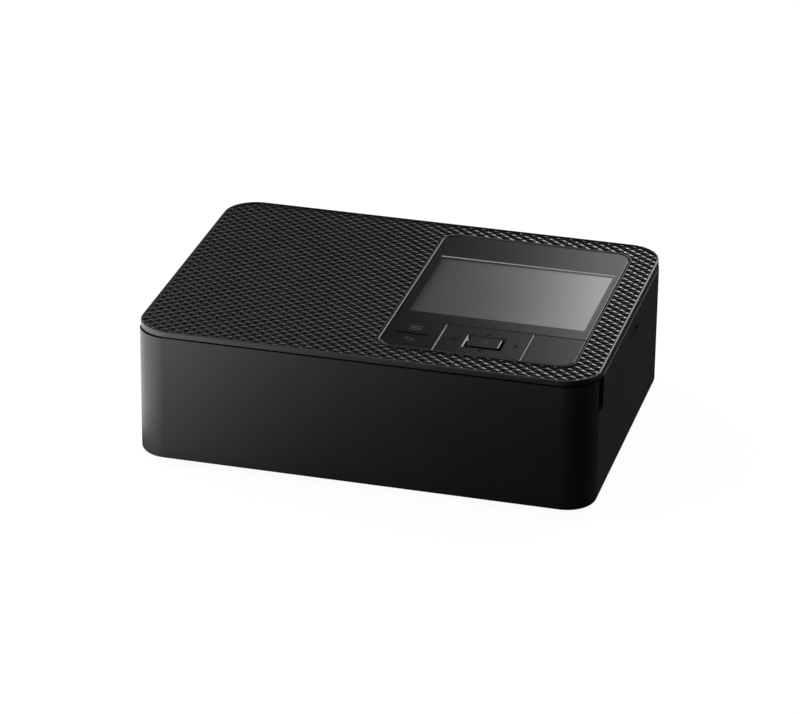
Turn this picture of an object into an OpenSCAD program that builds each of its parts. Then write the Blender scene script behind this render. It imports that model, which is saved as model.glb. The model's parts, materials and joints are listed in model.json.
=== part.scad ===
// Compact dye-sublimation photo printer. Millimetres, +X right, -Y front, +Z up.
// The origin is on the resting plane, at the middle of the footprint.

/* [Housing] */
// Overall width
body_w = 182.2; // [180:0.1:190]
// Overall depth
body_d = 133; // [132:0.1:138]
// Overall height with the feet
body_h = 57.6; // [57:0.1:60]
// Plan radius of the housing corners
corner_r = 12; // [11:0.5:13]
// Plan radius of the top cover corners
lid_corner_r = 13.5; // [12.5:0.1:14]
// Wall of the housing
wall = 2.2; // [2:0.1:2.4]
// Height of the rubber feet
foot_h = 2.9; // [2.5:0.1:3.3]
// Radius of a rubber foot
foot_r = 5.5; // [4:0.5:7]
// Height of the top cover's skirt
skirt_h = 4; // [3.8:0.1:4.4]
// Thickness of the top cover over the front cover
brow_t = 2.25; // [2.2:0.05:2.5]
// Rounding of the top cover's upper edge
lid_edge_r = 0.5; // [0.4:0.1:1]
// Rounding of the lower edge
low_edge_r = 1.2; // [0.8:0.1:1.5]
// Chamfer of the shell's upper edge beside the seam
seam_edge = 0.25; // [0.2:0.05:0.4]
// Depth of the recess that holds the textured skin
skin_t = 0.5; // [0.3:0.05:0.6]
// Plain rim round the textured skin
skin_rim = 0.7; // [0.6:0.1:1.5]

/* [Front cover] */
// Depth of the front cover, front face to rear edge
cover_depth = 10.4; // [9.5:0.1:11]
// Wall of the front cover
cover_wall = 1.8; // [1.5:0.1:2]
// Gap between the front cover and the top cover
cover_gap = 0.65; // [0.4:0.05:0.9]
// Radius of the moulded hinge pins
cover_pin_r = 1; // [0.8:0.05:1.1]
// Width of the finger notch in the right side
notch_w = 7.7; // [7:0.1:9]
// Height of the finger notch
notch_h = 13.9; // [12:0.1:16]
// Depth of the finger notch
notch_deep = 6; // [5:0.1:7]
// Radius of the finger notch's lower corner
notch_r = 2; // [1:0.1:3]

/* [Control panel] */
// Left edge of the control panel
panel_x0 = 3; // [1:0.1:5]
// Width of the control panel
panel_w = 77.1; // [76.5:0.1:78]
// Front edge of the control panel
panel_y0 = -53.5; // [-54:0.1:-53]
// Depth of the control panel
panel_d = 109.3; // [108:0.1:110]
// Corner radius of the control panel
panel_r = 6; // [4:0.1:8]
// Depth of the key row
key_row_d = 25; // [24.5:0.1:25.5]
// Width of the left key
left_key_w = 21.6; // [21:0.1:22]
// Width of the direction key
mid_key_w = 33.9; // [33.5:0.1:34.5]
// Width of a divider between two keys
divider_w = 0.6; // [0.5:0.1:1]
// Slope of a divider's top, left to right
divider_drop = 0.5; // [0.2:0.05:0.8]
// Thickness of the window and keys
panel_t = 1.85; // [1.7:0.05:1.95]
// Gap round each key
key_gap = 0.25; // [0.2:0.05:0.35]
// Gap between the panel and the top cover
panel_fit = 0.4; // [0.3:0.05:0.45]
// Chamfer along the panel's outer edges
panel_edge = 0.2; // [0.15:0.05:0.4]
// Width of the OK button
ok_w = 12.5; // [11:0.1:13]
// Depth of the OK button
ok_d = 8.7; // [8:0.1:9]
// Gap round the OK button
ok_gap = 0.5; // [0.4:0.05:0.6]
// Width of the bevelled mouth round the OK button
ok_mouth = 1; // [0.6:0.1:1.1]
// Room under a key for its travel
key_lift = 0.5; // [0.5:0.05:0.6]
// Radius of a rocker's rounded fulcrum
fulcrum_r = 0.5; // [0.4:0.05:0.6]

/* [Paper path] */
// Width of the photo paper
paper_w = 100; // [98:0.5:101]
// Height of the paper plane above the table
paper_z = 22; // [21.8:0.1:22.4]
// Radius of the platen roller
platen_r = 6; // [5.5:0.1:6.2]
// Place of the platen, front to back
platen_y = 5; // [4:0.1:6]
// Radius of the capstan roller
capstan_r = 3.5; // [3.2:0.1:3.6]
// Place of the capstan, front to back
capstan_y = -30; // [-30.5:0.1:-29.8]
// Radius of the pinch rollers
pinch_r = 3; // [2.7:0.1:3.1]
// Radius of the feed roller tyres
feed_r = 5.5; // [5:0.1:5.8]
// Radius of the roller shafts
shaft_r = 2; // [1.8:0.1:2.2]
// Thickness of the steel side plates
plate_t = 1.5; // [1.2:0.1:1.8]
// Height of the rear paper slot
rear_slot_h = 5; // [4.6:0.1:5.4]

/* [Ribbon] */
// Outer radius of a spool chamber
chamber_r = 10; // [9.8:0.1:10.1]
// Wall of the ribbon cassette
case_t = 1.2; // [1:0.1:1.3]
// Distance between the two spools
spool_pitch = 42; // [41.8:0.1:42.4]
// Radius of the full roll of film
full_roll_r = 7.6; // [7:0.1:7.8]
// Radius of the used roll of film
used_roll_r = 4.6; // [4.3:0.1:5.5]
// Radius of a spool core
core_r = 3.4; // [3.2:0.1:3.6]
// Thickness of the printing film
film_t = 0.2; // [0.15:0.05:0.25]
// Height of the ribbon door
door_h = 25.6; // [25:0.1:26]

/* [Gears] */
// Module of every gear
gear_module = 0.6; // [0.6:0.01:0.61]
// Width of a gear
gear_w = 3; // [2.5:0.1:3.2]
// Depth of the recess in each face of a large gear
web_depth = 0.6; // [0.3:0.1:0.8]
// Backlash at the pitch circle
backlash = 0.16; // [0.12:0.02:0.2]

/* [Fits] */
// Radial clearance of a shaft in its bore
run_fit = 0.05; // [0.04:0.01:0.08]
// Gap between parts that move past each other
gap = 0.3; // [0.25:0.05:0.35]

/* [Hidden] */
$fn = 48;

// Housing levels and half sizes
hx = body_w / 2;
hy = body_d / 2;
floor_z = foot_h;
plate_z = floor_z + 2;
rim_z = body_h - skirt_h;
brow_z = body_h - brow_t;
cover_top_z = brow_z - cover_gap;
cover_rear_y = -hy + cover_depth;
front_wall_y = cover_rear_y + 0.4;
inner_x = hx - wall;
inner_y = hy - wall;
inner_front_y = front_wall_y + 2;
rib_x = -hx + 17.1;
rib_pitch = 16;

// Front cover hinge
cover_pivot_y = -hy + 4;
cover_pivot_z = 4.15;
ear_x = hx - 20.7;
ear_w = 3.3;
ear_r = 4 - cover_wall - gap;

// Control panel
panel_x1 = panel_x0 + panel_w;
panel_y1 = panel_y0 + panel_d;
seam_y = panel_y0 + key_row_d;
ledge_z = body_h - skirt_h;
panel_z = ledge_z + 2;
panel_top = panel_z + panel_t;
ledge_w = 1.8;
div1_x = panel_x0 + left_key_w + divider_w / 2;
div2_x = div1_x + divider_w + mid_key_w;
mid_x = (div1_x + div2_x) / 2;
screen_y0 = seam_y + 8;
screen_y1 = screen_y0 + 55;
power_pivot_y = seam_y - ledge_w - 1;
ok_x = mid_x + 0.45;
ok_y = panel_y0 + key_row_d / 2 - 0.4;
rock_y = ok_y + 0.5;
key_y0 = panel_y0 + panel_fit;
key_y1 = seam_y - key_gap;
board_z = ledge_z - 3.6;
switch_top = board_z + 2;
frame_z = ledge_z - 1;
pad_z = ledge_z + 0.4;
pad_t = 0.7;
fulcrum_z = ledge_z + fulcrum_r + 0.1;
stem_gap = 0.5;
cap_top = panel_top + 0.1;
cap_edge = 0.35;
icon_dx = mid_key_w * 0.4;
icon_dy = key_row_d * 0.35;

// Paper path
bay_half = paper_w / 2 + 6;
plate_x = bay_half + 7.25;
bay_rear_y = capstan_y - 5.5;
capstan_z = paper_z - capstan_r;
platen_z = paper_z - platen_r;
pinch_z = paper_z + 0.25 + pinch_r;
bush_r = shaft_r + 1.4;
grip_w = 0.22 * paper_w;
tyre_w = 0.18 * paper_w;
tyre_x = 0.14 * paper_w;
bush_fit = 0.02;

// Gear teeth and centres
capstan_teeth = 40;
pinion_teeth = 16;
hub_teeth = 22;
feed_teeth = 28;
takeup_teeth = 30;
idler_teeth = 24;
ribbon_pinion_teeth = 12;
motor_r = 7;
ribbon_motor_r = 6.2;
motor_shaft_r = 1;
motor_z = plate_z + motor_r + 0.5;
motor_reach = gear_module * (capstan_teeth + pinion_teeth) / 2;
motor_dz = motor_z - capstan_z;
motor_y = capstan_y + sqrt(motor_reach * motor_reach - motor_dz * motor_dz);
motor_angle = atan2(motor_dz, motor_y - capstan_y);
feed_reach = gear_module * (hub_teeth + feed_teeth) / 2;
feed_angle = 139;
feed_y = capstan_y + feed_reach * cos(feed_angle);
feed_z = capstan_z + feed_reach * sin(feed_angle);
spool_z = paper_z + chamber_r + 2;
supply_y = platen_y - spool_pitch / 2;
takeup_y = platen_y + spool_pitch / 2;
idler_reach = gear_module * (takeup_teeth + idler_teeth) / 2;
idler_angle = -30;
idler_y = takeup_y + idler_reach * cos(idler_angle);
idler_z = spool_z + idler_reach * sin(idler_angle);
ribbon_pinion_reach = gear_module * (idler_teeth + ribbon_pinion_teeth) / 2;
ribbon_pinion_angle = 20;
ribbon_motor_y = idler_y + ribbon_pinion_reach * cos(ribbon_pinion_angle);
ribbon_motor_z = idler_z + ribbon_pinion_reach * sin(ribbon_pinion_angle);
gear_x = plate_x + plate_t + 1;
hub_x = gear_x + gear_w + 0.5;

// Ribbon cassette and its door
case_x0 = -plate_x + 3;
case_x1 = plate_x - 5;
case_mid_z = paper_z + 0.6;
case_top_z = spool_z + chamber_r;
bridge_t = 1.6;
door_y0 = supply_y - chamber_r - 2.6;
door_y1 = takeup_y + chamber_r + 2.6;
door_t = 2;
door_pivot_x = -hx + door_t;
door_pivot_z = spool_z - chamber_r - 2;
door_top_z = door_pivot_z - door_t + door_h;
door_lug = 3;
door_pin_r = 0.9;

// Thermal head
head_half = paper_w / 2 + 2;
head_rest_z = paper_z + 2.6;
head_y0 = platen_y - 7;
head_y1 = platen_y + 7;
arm_z = spool_z + chamber_r + 1.4;
arm_t = 1.2;
arm_pivot_y = takeup_y + chamber_r + 8;
arm_pivot_z = arm_z + arm_t / 2;
arm_pin_r = 1.5;
plate_top_z = arm_pivot_z + 1.9;
plate_y0 = feed_y - 8;
plate_y1 = arm_pivot_y + 6;

// Electronics
pcb_t = 1.4;
main_x = hx - 12;
main_y0 = -hy + 18.5;
main_y1 = hy - 4.5;
main_z1 = board_z - 9;
main_hole_ys = [main_y0 + 9, main_y1 - 26];
main_hole_zs = [plate_z + 9.1, main_z1 - 5];
sd_y = 2.4;
sd_z = body_h - 11.5;
sd_w = 24.4;
sd_t = 2.4;
jack_y0 = hy - 12;
fan_x = -hx + 20.1;
fan_w = 22;
fan_z = plate_z + fan_w / 2 + 12.1;
fan_y0 = hy - wall - 10.2;
fan_t = 8;

// Screw and foot places
boss_r = 3;
screw_r = 1.3;
screw_x = hx - 6.6;
screw_front_y = -hy + 20.5;
screw_rear_y = hy - 17.5;
foot_x = hx - 17;
foot_front_y = -hy + 20.5;
foot_rear_y = hy - 14;

// ---- Helpers ----

module box(x0, x1, y0, y1, z0, z1) {
    translate([x0, y0, z0]) cube([x1 - x0, y1 - y0, z1 - z0]);
}

// Turns a flat shape so that its x runs along +Y, its y along +Z and its depth along +X.
module along_x(x, y, z) {
    translate([x, y, z]) rotate([90, 0, 90]) children();
}

module x_rod(x0, x1, r, y, z) {
    along_x(x0, y, z) cylinder(h = x1 - x0, r = r);
}

module z_rod(x, y, z0, z1, r) {
    translate([x, y, z0]) cylinder(h = z1 - z0, r = r);
}

// Turns a flat shape so that its x runs along +X, its y along +Z and its depth along -Y.
module along_y(x, y, z) {
    translate([x, y, z]) rotate([90, 0, 0]) children();
}

module round_rect(x0, x1, y0, y1, r) {
    translate([x0 + r, y0]) square([x1 - x0 - 2 * r, y1 - y0]);
    translate([x0, y0 + r]) square([x1 - x0, y1 - y0 - 2 * r]);
    for (x = [x0 + r, x1 - r], y = [y0 + r, y1 - r]) translate([x, y]) circle(r = r);
}

module round_box(x0, x1, y0, y1, z0, z1, r) {
    translate([0, 0, z0]) linear_extrude(z1 - z0) round_rect(x0, x1, y0, y1, r);
}

// Rounded box whose upper edge is chamfered by e, or flared outwards where e is negative.
module bevel_box(x0, x1, y0, y1, z0, z1, r, e) {
    low = z1 - abs(e);
    round_box(x0, x1, y0, y1, z0, low, r);
    along_y(0, y1 - r, 0) linear_extrude(y1 - y0 - 2 * r)
        polygon([[x0, low], [x1, low], [x1 - e, z1], [x0 + e, z1]]);
    along_x(x0 + r, 0, 0) linear_extrude(x1 - x0 - 2 * r)
        polygon([[y0, low], [y1, low], [y1 - e, z1], [y0 + e, z1]]);
    for (x = [x0 + r, x1 - r], y = [y0 + r, y1 - r])
        translate([x, y, low]) cylinder(h = abs(e), r1 = r, r2 = r - e);
}

// Plan of the housing, moved inwards by inset.
module plan(inset, r = corner_r) {
    round_rect(-hx + inset, hx - inset, -hy + inset, hy - inset, r - inset);
}

module plan_prism(inset, z0, z1, r = corner_r) {
    translate([0, 0, z0]) linear_extrude(z1 - z0) plan(inset, r);
}

// Half section of a slab edge: rounded by e at its top or at its bottom.
module edge_section(r, h, top_e, low_e) {
    translate([0, low_e]) square([r, h - top_e - low_e]);
    square([r - max(top_e, low_e), h]);
    if (top_e > 0) translate([r - top_e, h - top_e]) circle(r = top_e);
    if (low_e > 0) translate([r - low_e, low_e]) circle(r = low_e);
}

// Slab with the plan of the housing and a rounded upper or lower edge.
module soft_slab(z0, z1, r, top_e, low_e) {
    h = z1 - z0;
    e = max(top_e, low_e);
    plan_prism(e, z0, z1, r);
    plan_prism(0, z0 + low_e, z1 - top_e, r);
    for (sx = [-1, 1], sy = [-1, 1])
        translate([sx * (hx - r), sy * (hy - r), z0]) rotate_extrude() edge_section(r, h, top_e, low_e);
    rod_z = top_e > 0 ? z1 - e : z0 + e;
    for (sy = [-1, 1]) x_rod(-hx + r, hx - r, e, sy * (hy - e), rod_z);
    for (sx = [-1, 1]) translate([sx * (hx - e), hy - r, rod_z]) rotate([90, 0, 0])
        cylinder(h = 2 * (hy - r), r = e);
}

// Points of one involute tooth flank: angle and radius, from the root to the tip.
function inv(a) = tan(a) - a * PI / 180;
function flank_angle(r, rb) = r <= rb ? 0 : inv(acos(rb / r)) * 180 / PI;
function tooth_half(r, rp, rb, teeth) =
    (90 - backlash * 180 / (PI * gear_module)) / teeth
    + flank_angle(rp, rb) - flank_angle(r, rb);
function polar(r, a) = [r * cos(a), r * sin(a)];
function gear_points(teeth) =
    let (rp = gear_module * teeth / 2, rb = rp * cos(20), ra = rp + gear_module,
         rf = rp - 1.25 * gear_module, radii = [max(rf, rb), rp, (rp + ra) / 2, ra])
    [for (i = [0 : teeth - 1]) let (c = i * 360 / teeth)
        each concat(
            [polar(rf, c - tooth_half(max(rf, rb), rp, rb, teeth))],
            [for (r = radii) polar(r, c - tooth_half(r, rp, rb, teeth))],
            [for (k = [3 : -1 : 0]) polar(radii[k], c + tooth_half(radii[k], rp, rb, teeth))],
            [polar(rf, c + tooth_half(max(rf, rb), rp, rb, teeth))])];

// Gear with its first tooth at the given angle and a bore for its shaft.
// A large gear has a thinner web with round holes between its rim and its hub.
module gear(teeth, tooth_at, w, bore_r) {
    rim_r = gear_module * teeth / 2 - 2;
    hub_r = bore_r + 2;
    webbed = rim_r - hub_r > 2;
    difference() {
        linear_extrude(w) difference() {
            rotate(tooth_at) polygon(gear_points(teeth));
            circle(r = bore_r);
            if (webbed) for (i = [0 : 4]) rotate(tooth_at + 72 * i)
                translate([(rim_r + hub_r) / 2, 0]) circle(r = (rim_r - hub_r) / 2 - 0.4);
        }
        if (webbed) for (z = [web_depth - 1, w - web_depth]) translate([0, 0, z])
            linear_extrude(1) difference() {
                circle(r = rim_r);
                circle(r = hub_r);
            }
    }
}

module spool_core(x0, x1, y) {
    x_rod(x0, x1, core_r, y, spool_z);
}

module screw(r, head_r, head_h, length) {
    cylinder(h = head_h, r = head_r);
    cylinder(h = head_h + length, r = r);
}

// Gear set across the machine, with its axis along X.
module x_gear(teeth, tooth_at, x, y, z, bore_r, w = gear_w) {
    along_x(x, y, z) gear(teeth, tooth_at, w, bore_r);
}

// ---- Housing ----

shell_color = [0.1, 0.1, 0.105];
steel = [0.72, 0.73, 0.74];
black_part = [0.13, 0.13, 0.14];
pcb_green = [0.08, 0.3, 0.16];

notch_y1 = front_wall_y + notch_w;
notch_z0 = rim_z - notch_h;
door_lug_z = door_pivot_z + 3;

module housing_cavity() {
    intersection() {
        plan_prism(wall, floor_z - 1, rim_z + 1);
        box(-hx, hx, inner_front_y, hy, floor_z - 1, rim_z + 1);
    }
}

module rear_vents() {
    for (z = [fan_z - 9 : 3.6 : fan_z + 9])
        box(fan_x - 8, fan_x + 8, inner_y - 1, hy + 1, z - 0.9, z + 0.9);
}

module hinge_ears() {
    for (s = [-1, 1]) {
        x0 = s > 0 ? ear_x : -ear_x - ear_w;
        x_rod(x0, x0 + ear_w, ear_r, cover_pivot_y, cover_pivot_z);
        box(x0, x0 + ear_w, cover_pivot_y, front_wall_y + 1, cover_pivot_z - ear_r + 0.8,
            cover_pivot_z + ear_r);
    }
}

module body_shell() {
    color(shell_color) difference() {
        union() {
            difference() {
                intersection() {
                    union() {
                        soft_slab(floor_z, rim_z - 2, corner_r, 0, low_edge_r);
                        bevel_box(-hx, hx, -hy, hy, rim_z - 2, rim_z, corner_r, seam_edge);
                    }
                    box(-hx, hx, front_wall_y, hy, floor_z, rim_z);
                }
                housing_cavity();
            }
            // Pocket behind the finger notch
            box(hx - notch_deep - 1.5, inner_x + 0.5, front_wall_y + 1, notch_y1 + 1.5,
                notch_z0 - 1.5, rim_z);
            // Lugs for the ribbon door's pins
            for (y = [door_y0 - door_lug - gap, door_y1 + gap])
                box(-inner_x - 1, door_pivot_x + 3, y, y + door_lug, door_pivot_z - 3, door_lug_z);
            // Columns for the case screws
            for (x = [-screw_x, screw_x], y = [screw_front_y, screw_rear_y])
                z_rod(x, y, plate_z, plate_z + 11, boss_r);
            for (x = [-screw_x, screw_x], y = [screw_front_y, screw_rear_y])
                box(min(x, sign(x) * (inner_x + 0.5)), max(x, sign(x) * (inner_x + 0.5)),
                    y - 0.75, y + 0.75, plate_z + 1, plate_z + 11);
            // Bosses that carry the main board
            for (y = main_hole_ys, z = main_hole_zs)
                x_rod(main_x + pcb_t, inner_x + 0.5, boss_r, y, z);
            hinge_ears();
        }
        // Paper bay mouth and rear paper slot
        box(-bay_half, bay_half, front_wall_y - 1, inner_front_y + 1, plate_z + 2, paper_z + 11);
        box(-bay_half, bay_half, inner_y - 1, hy + 1, paper_z - 1.5, paper_z - 1.5 + rear_slot_h);
        // Ribbon door mouth
        box(-hx - 1, -inner_x + 0.01, door_y0 - gap, door_y1 + gap, door_pivot_z - door_t - gap,
            door_top_z + gap);
        // Bores for the ribbon door's pins
        along_y(door_pivot_x, door_y1 + gap + door_lug, door_pivot_z)
            cylinder(h = door_y1 - door_y0 + 2 * (gap + door_lug), r = door_pin_r + run_fit);
        rear_vents();
        // Finger notch
        along_x(hx - notch_deep, 0, 0) linear_extrude(notch_deep + 1)
            round_rect(front_wall_y - 5, notch_y1, notch_z0, rim_z + 5, notch_r);
        // Memory card slot
        box(inner_x - 1, hx + 1, sd_y - sd_w / 2, sd_y + sd_w / 2, sd_z - sd_t / 2, sd_z + sd_t / 2);
        // Mouths of the DC jack and the USB socket
        along_y(jack_x, hy + 1, jack_z) cylinder(h = wall + 2, r = jack_r + 0.4);
        box(usb_x0 - 0.3, usb_x1 + 0.3, inner_y - 1, hy + 1, usb_z - 5, usb_z + 5);
        for (x = [-screw_x, screw_x], y = [screw_front_y, screw_rear_y])
            z_rod(x, y, plate_z - 1, plate_z + 9, screw_r + bush_fit);
        for (s = [-1, 1])
            x_rod(s * (ear_x + ear_w / 2) - ear_w, s * (ear_x + ear_w / 2) + ear_w,
                  cover_pin_r + run_fit, cover_pivot_y, cover_pivot_z);
    }
}

module bottom_cover() {
    color(shell_color) difference() {
        union() {
            intersection() {
                plan_prism(wall + gap, floor_z, plate_z);
                box(-hx, hx, inner_front_y + gap, hy, floor_z, plate_z);
            }
        }
        for (x = [-screw_x, screw_x], y = [screw_front_y, screw_rear_y])
            z_rod(x, y, floor_z - 1, plate_z + 1, screw_r + 0.2);
        // Cooling slots under the fan and the main board
        for (i = [0 : 5], s = [-1, 1])
            box(s * 40 + i * 5 - 12.5, s * 40 + i * 5 - 10, 22, 40, floor_z - 1, plate_z + 1);
    }
}

module rubber_feet() {
    color([0.05, 0.05, 0.05])
        for (x = [-foot_x, foot_x], y = [foot_front_y, foot_rear_y]) {
            z_rod(x, y, 0.6, floor_z, foot_r);
            z_rod(x, y, 0, 0.6, foot_r - 0.8);
        }
}

module case_screws() {
    color(steel)
        for (x = [-screw_x, screw_x], y = [screw_front_y, screw_rear_y])
            translate([x, y, floor_z - 1.2]) screw(screw_r, 2.4, 1.2, 9);
}

module top_cover() {
    pocket_y = panel_y0 - ledge_w;
    color(shell_color) difference() {
        union() {
            soft_slab(brow_z, body_h, lid_corner_r, lid_edge_r, 0);
            // Skirt and the lip that centres it inside the walls
            difference() {
                union() {
                    plan_prism(0, rim_z, brow_z + 0.5, lid_corner_r);
                    plan_prism(wall + 0.2, rim_z - 2, brow_z + 0.5);
                }
                plan_prism(wall + 0.2 + 1.4, rim_z - 3, brow_z + 1);
                along_x(-hx - 1, 0, 0) linear_extrude(body_w + 2)
                    polygon([[-hy - 1, rim_z - 3], [notch_y1 + 2, rim_z - 3], [notch_y1 + 2, rim_z],
                             [notch_y1, rim_z], [front_wall_y, brow_z], [-hy - 1, brow_z]]);
                box(-hx - 1, -inner_x + 2.4, door_y0 - 5, door_y1 + 5, rim_z - 3, rim_z);
                box(inner_x - 2.4, hx + 1, sd_y - 16, sd_y + 16, rim_z - 3, rim_z);
            }
            // Frame under the control panel
            box(panel_x0 - ledge_w, panel_x1 + ledge_w, pocket_y, panel_y1 + ledge_w,
                ledge_z, brow_z + 0.5);
            // Ribs under the textured half
            for (x = [rib_x : rib_pitch : panel_x0 - 8])
                box(x - 0.6, x + 0.6, -hy + 16.5, hy - 6.5, ledge_z + 0.6, brow_z + 0.5);
            for (y = [-hy + 24.5 : 1.5 * rib_pitch : hy - 8])
                box(-hx + 7.1, panel_x0 - ledge_w, y - 0.6, y + 0.6, ledge_z + 0.6, brow_z + 0.5);
        }
        // Seat of the panel, then the openings under the screen and the keys
        round_box(panel_x0, panel_x1, panel_y0, panel_y1, panel_z, body_h + 1, panel_r);
        bevel_box(panel_x0, panel_x1, panel_y0, panel_y1, body_h - 1, body_h, panel_r, -panel_edge);
        box(panel_x0 + ledge_w, panel_x1 - ledge_w, screen_y0 - 2, screen_y1 + 2, ledge_z - 1, panel_z + 1);
        box(panel_x0 + ledge_w, panel_x1 - ledge_w, panel_y0 + ledge_w, seam_y - ledge_w,
            ledge_z - 1, panel_z + 1);
        // Recess for the textured skin
        translate([0, 0, body_h - skin_t]) linear_extrude(skin_t + 1) difference() {
            plan(skin_rim, lid_corner_r);
            round_rect(panel_x0 - skin_rim, panel_x1 + skin_rim, panel_y0 - skin_rim, panel_y1 + skin_rim,
                       panel_r + skin_rim);
        }
    }
}

module front_cover() {
    color(shell_color) {
        difference() {
            soft_slab(floor_z, cover_top_z, corner_r, 0, low_edge_r);
            plan_prism(cover_wall, floor_z - 1, cover_top_z + 1);
            box(-hx - 1, hx + 1, cover_rear_y, hy + 1, floor_z - 1, cover_top_z + 1);
            // Rounded top rear corners beside the seam
            along_x(-hx - 1, cover_rear_y, cover_top_z) linear_extrude(body_w + 2) difference() {
                translate([-1.5, -1.5]) square(3);
                translate([-1.5, -1.5]) circle(r = 1.5);
            }
        }
        // Stiffening ribs inside
        for (z = [floor_z + 11.1, cover_top_z - 8.7])
            box(rib_x, -rib_x, -hy + cover_wall - 0.2, -hy + cover_wall + 1, z - 0.6, z + 0.6);
        for (i = [-2 : 2]) {
            x = i * (-rib_x - 8) / 2;
            box(x - 0.6, x + 0.6, -hy + cover_wall - 0.2, -hy + cover_wall + 1, 9, cover_top_z - 4);
        }
        // Hinge tabs with moulded pins
        for (s = [-1, 1]) {
            tab_x = ear_x + ear_w + gap;
            x0 = s > 0 ? tab_x : -tab_x - 2;
            difference() {
                union() {
                    x_rod(x0, x0 + 2, ear_r, cover_pivot_y, cover_pivot_z);
                    box(x0, x0 + 2, -hy + cover_wall - 0.5, cover_pivot_y, cover_pivot_z - 0.4,
                        cover_pivot_z + ear_r);
                }
                box(x0 - 1, x0 + 3, -hy - 2, -hy + 0.5, floor_z - 3, cover_top_z);
            }
            x_rod(s > 0 ? ear_x : -tab_x - 0.5, s > 0 ? tab_x + 0.5 : -ear_x, cover_pin_r,
                  cover_pivot_y, cover_pivot_z);
        }
    }
}

module ribbon_door() {
    color(shell_color) {
        difference() {
            union() {
                box(-hx, -hx + door_t, door_y0, door_y1, door_pivot_z, door_top_z);
                along_y(door_pivot_x, door_y1, door_pivot_z) cylinder(h = door_y1 - door_y0, r = door_t);
                box(-hx + door_t - 0.2, -hx + door_t + 1, door_y0 + 4, door_y1 - 4, door_top_z - 6,
                    door_top_z - 4.8);
            }
            // The door's plate is thinner at the finger grip
            box(-hx - 1, -hx + 0.8, (door_y0 + door_y1) / 2 - 8, (door_y0 + door_y1) / 2 + 8,
                door_top_z - 3, door_top_z + 1);
        }
        along_y(door_pivot_x, door_y1 + door_lug, door_pivot_z)
            cylinder(h = door_y1 - door_y0 + 2 * door_lug, r = door_pin_r);
    }
}

// ---- Control panel ----

// One tile of the key row: the panel's outline between two edges.
module key_tile(x0, x1) {
    intersection() {
        bevel_box(panel_x0 + panel_fit, panel_x1 - panel_fit, key_y0, panel_y1,
                  panel_z + key_lift, panel_top, panel_r, panel_edge);
        box(x0, x1, key_y0 - 1, key_y1, panel_z, panel_top + 1);
    }
}

module stem(x, y, low_z) {
    z_rod(x, y, low_z, panel_z + key_lift + 0.2, 1);
}

module control_panel_window() {
    color([0.03, 0.03, 0.035]) intersection() {
        bevel_box(panel_x0 + panel_fit, panel_x1 - panel_fit, panel_y0, panel_y1 - panel_fit,
                  panel_z, panel_top, panel_r, panel_edge);
        box(panel_x0, panel_x1, seam_y + 0.1, panel_y1, panel_z, panel_top + 1);
    }
}

module key_frame() {
    color(black_part) difference() {
        union() {
            box(panel_x0 + 0.3, panel_x1 - 0.3, panel_y0 + 0.3, seam_y - 0.5, frame_z, ledge_z);
            for (x = [div1_x, div2_x])
                box(x - divider_w / 2, x + divider_w / 2, panel_y0 + ledge_w + 0.1, seam_y - ledge_w - 0.1,
                    ledge_z - 0.1, panel_z);
            // Divider ribs, whose tops slope down to the right
            for (x = [div1_x, div2_x])
                along_y(x, seam_y - 0.1, 0) linear_extrude(key_row_d - 0.2)
                    polygon([[-divider_w / 2, panel_z], [divider_w / 2, panel_z],
                             [divider_w / 2, panel_top - divider_drop], [-divider_w / 2, panel_top]]);
            for (x = [panel_x0 + 4, panel_x1 - 4], y = [panel_y0 + 3, seam_y - 3])
                z_rod(x, y, board_z + pcb_t, frame_z + 0.1, 1.6);
        }
        for (p = key_places) z_rod(p[0], p[1], frame_z - 1, ledge_z + 1, 1 + stem_gap);
        z_rod(ok_x, ok_y, frame_z - 1, ledge_z + 1, 2 + stem_gap);
    }
}

key_places = [
    [panel_x0 + 11, rock_y + 6.6], [panel_x0 + 11, rock_y - 6.6],
    [mid_x - icon_dx, ok_y], [mid_x + icon_dx, ok_y], [mid_x, ok_y - icon_dy], [mid_x, ok_y + icon_dy],
    [panel_x1 - 6, ok_y - 5.6]
];

module lcd_module() {
    color([0.3, 0.32, 0.35])
        box(panel_x0 + ledge_w + 0.2, panel_x1 - ledge_w - 0.2, screen_y0 - 1.7, screen_y1 + 1.7,
            ledge_z - 1.4, panel_z - 0.2);
}

module lcd_frame() {
    x0 = panel_x0 + 0.4;
    x1 = panel_x1 - 0.4;
    color(steel) difference() {
        box(x0, x1, screen_y0 - 3.2, screen_y1 + 3.2, ledge_z - 2.2, ledge_z);
        box(x0 + 1, x1 - 1, screen_y0 - 2.2, screen_y1 + 2.2, ledge_z - 1.4, ledge_z + 1);
    }
}

module control_board() {
    color(pcb_green)
        box(panel_x0 + 1.5, panel_x1 - 1.5, panel_y0 + 0.8, seam_y - 0.8, board_z, board_z + pcb_t);
}

module key_switches() {
    color(steel)
        for (p = concat(key_places, [[ok_x, ok_y]])) {
            box(p[0] - 1.5, p[0] + 1.5, p[1] - 1.5, p[1] + 1.5, board_z + pcb_t, board_z + pcb_t + 0.4);
            z_rod(p[0], p[1], board_z + pcb_t, switch_top - 0.1, 0.8);
        }
}

// The menu and back key rocks on the rounded rib under its middle.
module menu_back_key() {
    color(black_part) {
        difference() {
            key_tile(panel_x0, div1_x - divider_w / 2 - key_gap);
            box(panel_x0 + 4, div1_x - 4, rock_y - 0.5, rock_y + 0.5, panel_top - 0.25, panel_top + 1);
        }
        box(panel_x0 + 3, div1_x - 3, rock_y - 0.4, rock_y + 0.4, fulcrum_z, panel_z + key_lift + 0.2);
        x_rod(panel_x0 + 3, div1_x - 3, fulcrum_r, rock_y, fulcrum_z);
        for (i = [0, 1]) stem(key_places[i][0], key_places[i][1], switch_top + gap);
    }
}

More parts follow.
